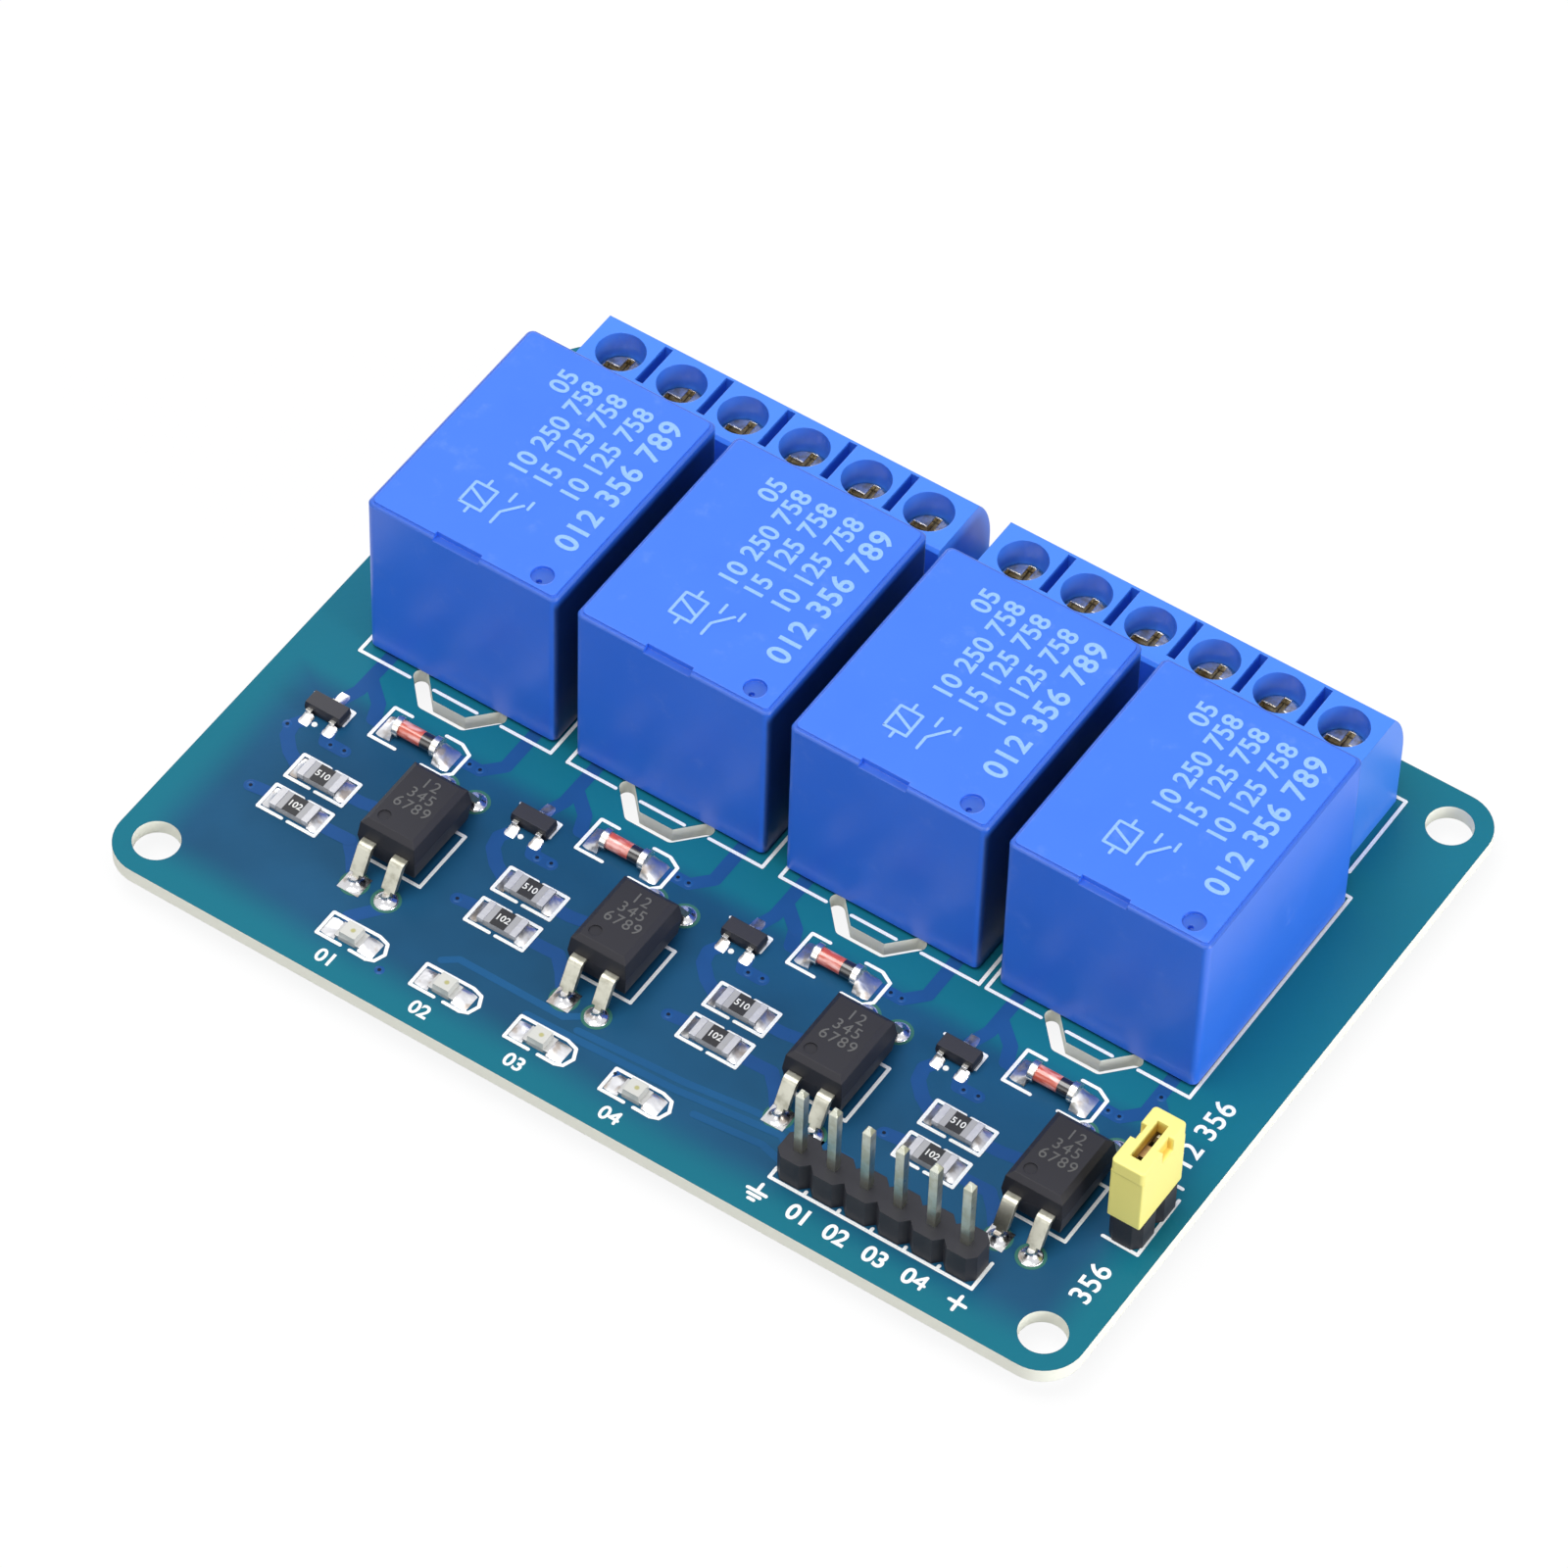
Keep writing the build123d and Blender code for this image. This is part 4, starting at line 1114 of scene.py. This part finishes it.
class AddSolder(bpy.types.Operator):
    """Lands and solder joints of the small parts, and of every pin above and below"""

    bl_idname = "relay.add_solder"
    bl_label = "Add Solder"

    def execute(self, context):
        board = context.scene.relay_board_colours
        copper = context.scene.relay_copper_sizes
        solder, dull_solder = (
            finish(name, paint_solder, colour=board.solder, shade=SOLDER_SHADE, rough=rough)
            for name, rough in (("solder", 0.2), ("dull_solder", 0.32))
        )
        self.mounds(dull_solder)
        leads = [
            (opto.x + side * PIN_PITCH / 2, y) for opto in OPTOS for side in (-1, 1) for y in LEAD_ROWS
        ]
        self.lands(leads, copper.land / MM, finish("bare_laminate", paint_lacquer, colour=board.halo), solder)
        self.joints(leads, copper, solder)
        return {"FINISHED"}

    def mounds(self, solder):
        tree = mound_tree()
        chips = (channel_spots(RESISTORS), channel_spots([DIODE]), [(x, LED_Y) for x in LEDS])
        for spots, (name, (reach, *sizes)) in zip(chips, CHIP_MOUNDS.items()):
            points, turns = chip_ends(spots, reach)
            guide = guide_points(points, TOP, turns)
            grow(name, tree, guide, mound_sizes(*sizes), solder, smooth=True)
        for name, (shifts, side, *sizes) in FOOT_MOUNDS.items():
            y = TRANSISTOR.y + side * FOOT_REACH
            spots = channel_spots([(TRANSISTOR.x + shift, y) for shift in shifts])
            guide = guide_points(spots, TOP, [side * math.pi / 2] * len(spots))
            grow(name, tree, guide, mound_sizes(*sizes), solder, smooth=True)

    def lands(self, leads, land, halo, solder):
        squares = [(opto.x - PIN_PITCH / 2, LEAD_ROWS[0]) for opto in OPTOS]
        rounds = [spot for spot in leads if spot not in squares]
        tree = disc_tree()
        sizes = {"Radius": land + 0.2, "Height": 0.016, "Slope": 0.004}
        grow("land_halos", tree, guide_points(leads, TOP), sizes, halo)
        sizes = {"Radius": land, "Height": LAND_THICKNESS, "Slope": 0.04}
        grow("round_lands", tree, guide_points(rounds, TOP), sizes, solder)
        plates = [plate(rectangle(spot, 2 * land, 2 * land), TOP, LAND_THICKNESS) for spot in squares]
        keep("square_lands", joined(plates), material=solder)

    def joints(self, leads, copper, solder):
        tree = joint_tree()
        land = copper.land / MM
        sizes = {"Land Radius": land * 0.92, "Pin Radius": 0.26, "Rise": 0.62}
        grow("upper_joints", tree, guide_points(leads, TOP + 0.03), sizes, solder, smooth=True)
        relay_pins = []
        for relay in RELAYS:
            rows = (relay.y + COIL_ROW, relay.y + CONTACT_ROW)
            relay_pins.append((relay.x, COMMON_PIN_Y))
            relay_pins += [(relay.x + side * PIN_SIDE, y) for side in (-1, 1) for y in rows]
        below = (
            ("relay_joints", relay_pins, 1.35, 0.55),
            ("terminal_joints", [(x, WELL_Y) for x in WAYS], 1.25, 0.55),
            ("lead_joints", leads, land, 0.3),
            ("header_joints", [(x, HEADER.y) for x in HEADER_XS], 0.9, 0.4),
            ("jumper_joints", [(JUMPER.x, JUMPER.y + side * PIN_PITCH / 2) for side in (-1, 1)], 0.9, 0.4),
        )
        for name, spots, radius, pin in below:
            sizes = {"Land Radius": radius, "Pin Radius": pin, "Rise": copper.joint / MM, "Tilt": math.pi}
            grow(name, tree, guide_points(spots, UNDER), sizes, solder, smooth=True)


# A relay's printed outline: left edges, width, front and rear; and the slot that it stops for
OUTLINE_LEFTS = (-33.37, -16.36, 0.7, 16.92)
OUTLINE_WIDTH = 15.65
OUTLINE_FRONT, OUTLINE_REAR = FRONT - 0.74, FRONT + 19.3
SLOT_GAP = (1.75, 3.75)


def relay_outlines():
    """Printed outline of each relay, broken where its slot crosses the front line."""
    front, rear = OUTLINE_FRONT, OUTLINE_REAR
    near, far = SLOT_GAP
    lines = []
    for relay, left in zip(RELAYS, OUTLINE_LEFTS):
        x, right = relay.x, left + OUTLINE_WIDTH
        lines += [
            [(x - far, front), (left, front), (left, rear), (right, rear), (right, front), (x + far, front)],
            [(x - near, front), (x + near, front)],
        ]
    return lines


def terminal_outlines():
    """Printed rectangle round each group of terminals."""
    front, rear = WELL_Y - 3.0, WELL_Y + 4.25
    return [
        [(left, front), (right, front), (right, rear), (left, rear), (left, front)]
        for left, right in ((-32.35, -1.15), (0.15, 31.35))
    ]


def header_outlines():
    """Printed line round the header's front, with a tick between its pins, and the jumper's corner."""
    front = HEADER.y - 1.45
    left, right = HEADER_XS[0] - 1.35, HEADER_XS[-1] + 1.4
    ticks = [x + PIN_PITCH / 2 for x in HEADER_XS[:-1]]
    return [
        [(left, front + 0.9), (left, front), (right, front), (right, front + 2.4)],
        *([(x, front), (x, front + 0.35)] for x in ticks),
        [(33.85, -16.5), (36.5, -16.55), (36.4, -11.4)],
        [(35.7, -10.5), (36.1, -10.5)],
    ]


# Printed frames in every channel, from its middle
DIODE_PRINT = (
    [(-1.6, -6.75), (-3.0, -6.75), (-3.05, -9.7), (-0.95, -9.7)],
    [(1.25, -6.8), (2.55, -6.8), (3.45, -7.3), (3.45, -9.25), (2.9, -9.8), (1.25, -9.8)],
)
TRANSISTOR_PRINT = (
    [(-8.15, -8.7), (-7.4, -8.7)],
    [(-5.7, -8.7), (-4.95, -8.7), (-4.95, -10.0)],
)
OPTO_PRINT = ([(6.4, -13.15), (7.25, -13.15), (7.25, -18.3), (2.7, -18.3)],)
# Printed frame of an indicator, from its middle along X
LED_PRINT = [
    (-0.3, -25.2), (-2.2, -25.2), (-2.2, -23.2), (1.45, -23.15), (2.25, -23.4), (2.6, -24.2), (2.3, -25.0),
    (1.75, -25.22), (0.45, -25.2),
]
# Signs at the supply pins, and the dot by each relay's first pin
PLUS_SIGN = ([(28.5, -26.2), (29.7, -26.2)], [(29.1, -26.8), (29.1, -25.6)])
EARTH_SIGN = (
    [(13.8, -25.5), (13.8, -26.2)], [(13.1, -26.2), (14.5, -26.2)], [(13.35, -26.55), (14.25, -26.55)],
    [(13.6, -26.9), (14.0, -26.9)],
)
PIN_DOT = (-6.58, -11.02)
PIN_DOT_SIZES = {"Radius": 0.21, "Height": 2 * INK, "Slope": 0.01}
# Labels of the channels by the indicators and by the header: places, then size and weight of the figures
LED_LABELS = ([(x - 0.45, -26.6) for x in LEDS], 0.86, 0.035)
HEADER_LABELS = ([(x, -26.25) for x in (17.05, 19.85, 22.85, 25.85)], 1.0, 0.045)
SIDE_WORDS = (("12 356", 35.0, -6.1), ("356", 35.3, -20.1))


def resistor_outlines(spot):
    """Printed rectangle round a resistor, open for a moment in front and behind."""
    left, right, front, rear = spot.x - 2.3, spot.x + 2.3, spot.y - 1.1, spot.y + 1.1
    return (
        [(spot.x - 0.35, front), (left, front), (left, rear), (spot.x - 0.15, rear)],
        [(spot.x + 0.3, rear), (right, rear), (right, front), (spot.x + 0.15, front)],
    )


# The built-in face's 4 closes up when it is made bolder, so a bold 4 is a bent stroke, here at size one
BOLD_FOUR = ((0.13, -0.25), (0.13, 0.34), (-0.2, -0.05), (0.22, -0.05))


class AddBoardPrint(bpy.types.Operator):
    """Printed outlines and plain figures on the board"""

    bl_idname = "relay.add_board_print"
    bl_label = "Add Board Print"

    def execute(self, context):
        board = context.scene.relay_board_colours
        prints = context.scene.relay_print_sizes
        ink = finish("board_ink", paint_ink, colour=board.print_white, rough=0.4)
        tree = stroke_tree()
        sizes = {"Width": prints.line / MM, "Height": prints.thickness / MM, "Slope": 0.01}
        lines = relay_outlines()
        for group in (DIODE_PRINT, TRANSISTOR_PRINT, OPTO_PRINT, *(resistor_outlines(s) for s in RESISTORS)):
            lines += channel_lines(group)
        lines += [shifted(LED_PRINT, x) for x in LEDS] + terminal_outlines() + header_outlines()
        grow("outlines", tree, guide_lines(lines, TOP + INK), sizes, ink)
        guide = guide_points(channel_spots([PIN_DOT]), TOP)
        grow("pin_dots", disc_tree(), guide, PIN_DOT_SIZES, ink)

        label = prints.label / MM
        meshes, fours = [], []
        for spots, scale, weight in (LED_LABELS, HEADER_LABELS):
            size = label * scale
            *others, (x, y) = spots
            for number, spot in zip(CHANNELS, others):
                meshes.append(placed(digits(f"0{number}", size, weight), *spot, TOP + INK / 2))
            meshes.append(placed(digits("0", size, weight), x - size / 4, y, TOP + INK / 2))
            fours.append([(x + size * (u + 0.25), y + size * v) for u, v in BOLD_FOUR])
        for words, x, y in SIDE_WORDS:
            figures = digits(words, label * 1.2, 0.03, spacing=1.08)
            meshes.append(placed(figures, x, y, TOP + INK / 2, 90))
        keep("board_figures", joined(meshes), material=ink)
        signs = (
            ("supply_signs", [*PLUS_SIGN, *EARTH_SIGN], 0.26),
            ("label_fours", fours, 0.22),
        )
        for name, lines, width in signs:
            grow(name, tree, guide_lines(lines, TOP), sizes | {"Width": width}, ink)
        return {"FINISHED"}


# Printed contact diagram, from the middle of the relay's top
DIAGRAM = (
    [(-2.6, -5.9), (-2.6, -3.9), (-0.9, -3.9), (-0.9, -5.9), (-2.6, -5.9)],
    [(-1.75, -5.9), (-1.75, -6.5)],
    [(-1.75, -3.9), (-1.75, -3.3)],
    [(-0.9, -5.3), (-2.6, -4.5)],
    [(0.2, -6.3), (0.2, -5.2)],
    [(0.2, -5.2), (1.2, -3.9)],
    [(1.6, -3.3), (1.6, -4.0)],
    [(0.2, -3.3), (0.2, -4.1)],
)
# Rows of figures that run along Y: words, and the place along X from the relay's middle
ROWS = (("05", -2.85), ("10 250 758", -0.95), ("15 125 758", 1.05), ("10 125 758", 3.2))
WIDE_ROW = ("012 356 789", 5.45)
# Rows of figures that run along X: words, and the place along Y from the optocoupler's middle
OPTO_ROWS = (("12", 1.75), ("345", 0.65), ("6789", -0.45))
RESISTOR_WORDS = ("510", "102")
RESISTOR_TOP = TOP + 0.55


class AddRelayPrint(bpy.types.Operator):
    """Plain figures and a contact diagram on the relays' tops"""

    bl_idname = "relay.add_relay_print"
    bl_label = "Add Relay Print"

    def execute(self, context):
        parts = context.scene.relay_part_colours
        prints = context.scene.relay_print_sizes
        ink = finish("relay_ink", paint_ink, colour=parts.relay_print, rough=0.38)
        rows = [(*row, prints.row / MM, 0.04, 1.05, 7.7) for row in ROWS]
        rows.append((*WIDE_ROW, prints.wide_row / MM, 0.05, 1.12, 7.8))
        meshes, lines = [], []
        for relay in RELAYS:
            for words, shift, size, weight, spacing, end in rows:
                figures = digits(words, size, weight, INK, "RIGHT", spacing)
                meshes.append(placed(figures, relay.x + shift, relay.y + end, RELAY_TOP + INK / 2, 90))
            lines += [shifted(line, relay.x, relay.y) for line in DIAGRAM]
        keep("relay_figures", joined(meshes), material=ink)
        sizes = {"Width": prints.mark_line / MM, "Height": INK, "Slope": 0.01}
        guide = guide_lines(lines, RELAY_TOP)
        grow("contact_diagrams", stroke_tree(), guide, sizes, ink)
        return {"FINISHED"}


class AddPartPrint(bpy.types.Operator):
    """Plain figures on the optocouplers and resistors"""

    bl_idname = "relay.add_part_print"
    bl_label = "Add Part Print"

    def execute(self, context):
        parts = context.scene.relay_part_colours
        grey = finish("chip_ink", paint_ink, colour=parts.chip_print, rough=0.5)
        meshes = []
        for opto in OPTOS:
            for words, shift in OPTO_ROWS:
                figures = digits(words, 1.25, 0.0, THIN_INK, spacing=1.15)
                meshes.append(placed(figures, opto.x + 0.1, opto.y + shift, OPTO_TOP + THIN_INK / 2))
        keep("optocoupler_figures", joined(meshes), material=grey)
        white = finish("resistor_ink", paint_ink, colour=(0.85, 0.85, 0.82), rough=0.4)
        meshes = []
        for relay in RELAYS:
            for words, spot in zip(RESISTOR_WORDS, RESISTORS):
                figures = digits(words, 0.72, 0.012, THIN_INK)
                meshes.append(placed(figures, relay.x + spot.x, spot.y, RESISTOR_TOP + THIN_INK / 2))
        keep("resistor_figures", joined(meshes), material=white)
        return {"FINISHED"}


# Lamps: setting that holds the power, place and aim in metres, and size
LAMPS = {
    "lamp_above": ("top_lamp", (-0.05, -0.12, 0.63), (0, 0, 0), 0.5),
    "lamp_right": ("side_lamp", (0.65, 0.0, 0.16), (0, 0, 0.01), 0.4),
    "lamp_behind": ("back_lamp", (-0.4, 0.45, 0.18), (0, 0, 0.01), 0.35),
    "lamp_front": ("front_lamp", (-0.15, -0.6, 0.16), (0, 0, 0.01), 0.4),
}
WHITE = (1, 1, 1, 1)
FLOOR_SIZE = 6.0
FLOOR_DROP = 0.05
# Camera fitted to the photograph: turn, rise and roll in degrees; the spot that it looks at, then the way
# from there across, up and back, in millimetres; and its lens
CAMERA_TURN, CAMERA_RISE, CAMERA_ROLL = 32.300, 50.845, 1.999
CAMERA_AIM = Vector((-0.214, -2.176, TOP + 3.96))
CAMERA_ACROSS, CAMERA_UP, CAMERA_BACK = 0.107, 2.566, 539.49
LENS, SENSOR = 188.533, 36.0
SHIFT_X, SHIFT_Y = -0.0020, -0.0050


def area_lamp(name, spot, aim, size, power):
    """A square soft lamp that points at a spot; places in metres."""
    light = bpy.data.lights.new(name, "AREA")
    light.shape = "SQUARE"
    light.size = size
    light.energy = power
    lamp = bpy.data.objects.new(name, light)
    lamp.location = spot
    lamp.rotation_euler = (Vector(aim) - Vector(spot)).to_track_quat("-Z", "Y").to_euler()
    bpy.context.scene.collection.objects.link(lamp)


class SetStage(bpy.types.Operator):
    """Floor, lamps, even light from all round, and the camera"""

    bl_idname = "relay.set_stage"
    bl_label = "Set Stage"

    def execute(self, context):
        stage = context.scene.relay_stage_settings
        self.floor(stage)
        self.sky(stage)
        for name, (power, spot, aim, size) in LAMPS.items():
            area_lamp(name, spot, aim, size, getattr(stage, power))
        self.camera()
        return {"FINISHED"}

    def floor(self, stage):
        bpy.ops.mesh.primitive_plane_add(size=FLOOR_SIZE)
        floor = bpy.context.object
        floor.name = "floor"
        floor.data.transform(Matrix.Translation((0, 0, -FLOOR_DROP * MM)))
        material = bpy.data.materials.new("floor")
        graph = Graph.of(material)
        camera_ray, seen = graph.backdrop_rays()
        pale = graph.blend(camera_ray, opaque(stage.bounce), opaque(stage.floor))
        plain = graph.node("ShaderNodeBsdfDiffuse", {}, {"Color": pale})
        white = graph.node("ShaderNodeEmission", {}, {"Color": WHITE, "Strength": 1.0})
        both = graph.node("ShaderNodeMixShader", {}, {0: seen * 0.9, 1: plain, 2: white})
        graph.node("ShaderNodeOutputMaterial", {}, {"Surface": both})
        floor.data.materials.append(material)

    def sky(self, stage):
        world = bpy.data.worlds.new("sky")
        graph = Graph.of(world)
        even = graph.node("ShaderNodeBackground", {}, {"Color": WHITE, "Strength": stage.sky})
        white = graph.node("ShaderNodeBackground", {}, {"Color": WHITE, "Strength": 1.0})
        both = graph.node("ShaderNodeMixShader", {}, {0: graph.backdrop_rays()[1], 1: even, 2: white})
        graph.node("ShaderNodeOutputWorld", {}, {"Surface": both})
        bpy.context.scene.world = world

    def camera(self):
        turn, rise, roll = (math.radians(a) for a in (CAMERA_TURN, CAMERA_RISE, CAMERA_ROLL))
        back = Vector((math.sin(turn) * math.cos(rise), -math.cos(turn) * math.cos(rise), math.sin(rise)))
        right = Vector((math.cos(turn), math.sin(turn), 0))
        up = back.cross(right)
        across = math.cos(roll) * right + math.sin(roll) * up
        upright = -math.sin(roll) * right + math.cos(roll) * up
        spot = CAMERA_AIM + CAMERA_ACROSS * across + CAMERA_UP * upright + CAMERA_BACK * back
        lens = bpy.data.cameras.new("camera")
        lens.sensor_width = SENSOR
        lens.lens = LENS
        lens.shift_x = SHIFT_X
        lens.shift_y = SHIFT_Y
        lens.clip_start = 0.01
        camera = bpy.data.objects.new("camera", lens)
        facing = Matrix((across, upright, back)).transposed().to_4x4()
        camera.matrix_world = Matrix.Translation(spot * MM) @ facing
        bpy.context.scene.collection.objects.link(camera)
        bpy.context.scene.camera = camera
        bpy.context.scene.view_settings.view_transform = "Standard"


OPERATORS = (
    DressBoard, DressRelays, DressTerminals, DressSmallParts, DressHeaders, AddTracks, AddVias, AddSolder,
    AddBoardPrint, AddRelayPrint, AddPartPrint, SetStage,
)


class RELAY_PT_dresser(bpy.types.Panel):
    """Lists the settings and the steps of the relay board's looks"""

    bl_label = "Relay Board"
    bl_space_type = "VIEW_3D"
    bl_region_type = "UI"
    bl_category = "Relay Board"

    def draw(self, context):
        layout = self.layout
        for name in PROPERTY_GROUPS:
            settings = getattr(context.scene, "relay_" + name)
            box = layout.box()
            box.label(text=name.replace("_", " ").capitalize())
            for key in settings.__annotations__:
                box.prop(settings, key)
        for operator in OPERATORS:
            layout.operator(operator.bl_idname)


def register():
    for group in PROPERTY_GROUPS.values():
        bpy.utils.register_class(group)
    for name, group in PROPERTY_GROUPS.items():
        setattr(bpy.types.Scene, "relay_" + name, bpy.props.PointerProperty(type=group))
    for operator in OPERATORS:
        bpy.utils.register_class(operator)
    bpy.utils.register_class(RELAY_PT_dresser)


def unregister():
    bpy.utils.unregister_class(RELAY_PT_dresser)
    for operator in reversed(OPERATORS):
        bpy.utils.unregister_class(operator)
    for name in PROPERTY_GROUPS:
        delattr(bpy.types.Scene, "relay_" + name)
    for group in PROPERTY_GROUPS.values():
        bpy.utils.unregister_class(group)


def main():
    register()
    for operator in OPERATORS:
        group, action = operator.bl_idname.split(".")
        getattr(getattr(bpy.ops, group), action)()


if __name__ == "__main__":
    main()
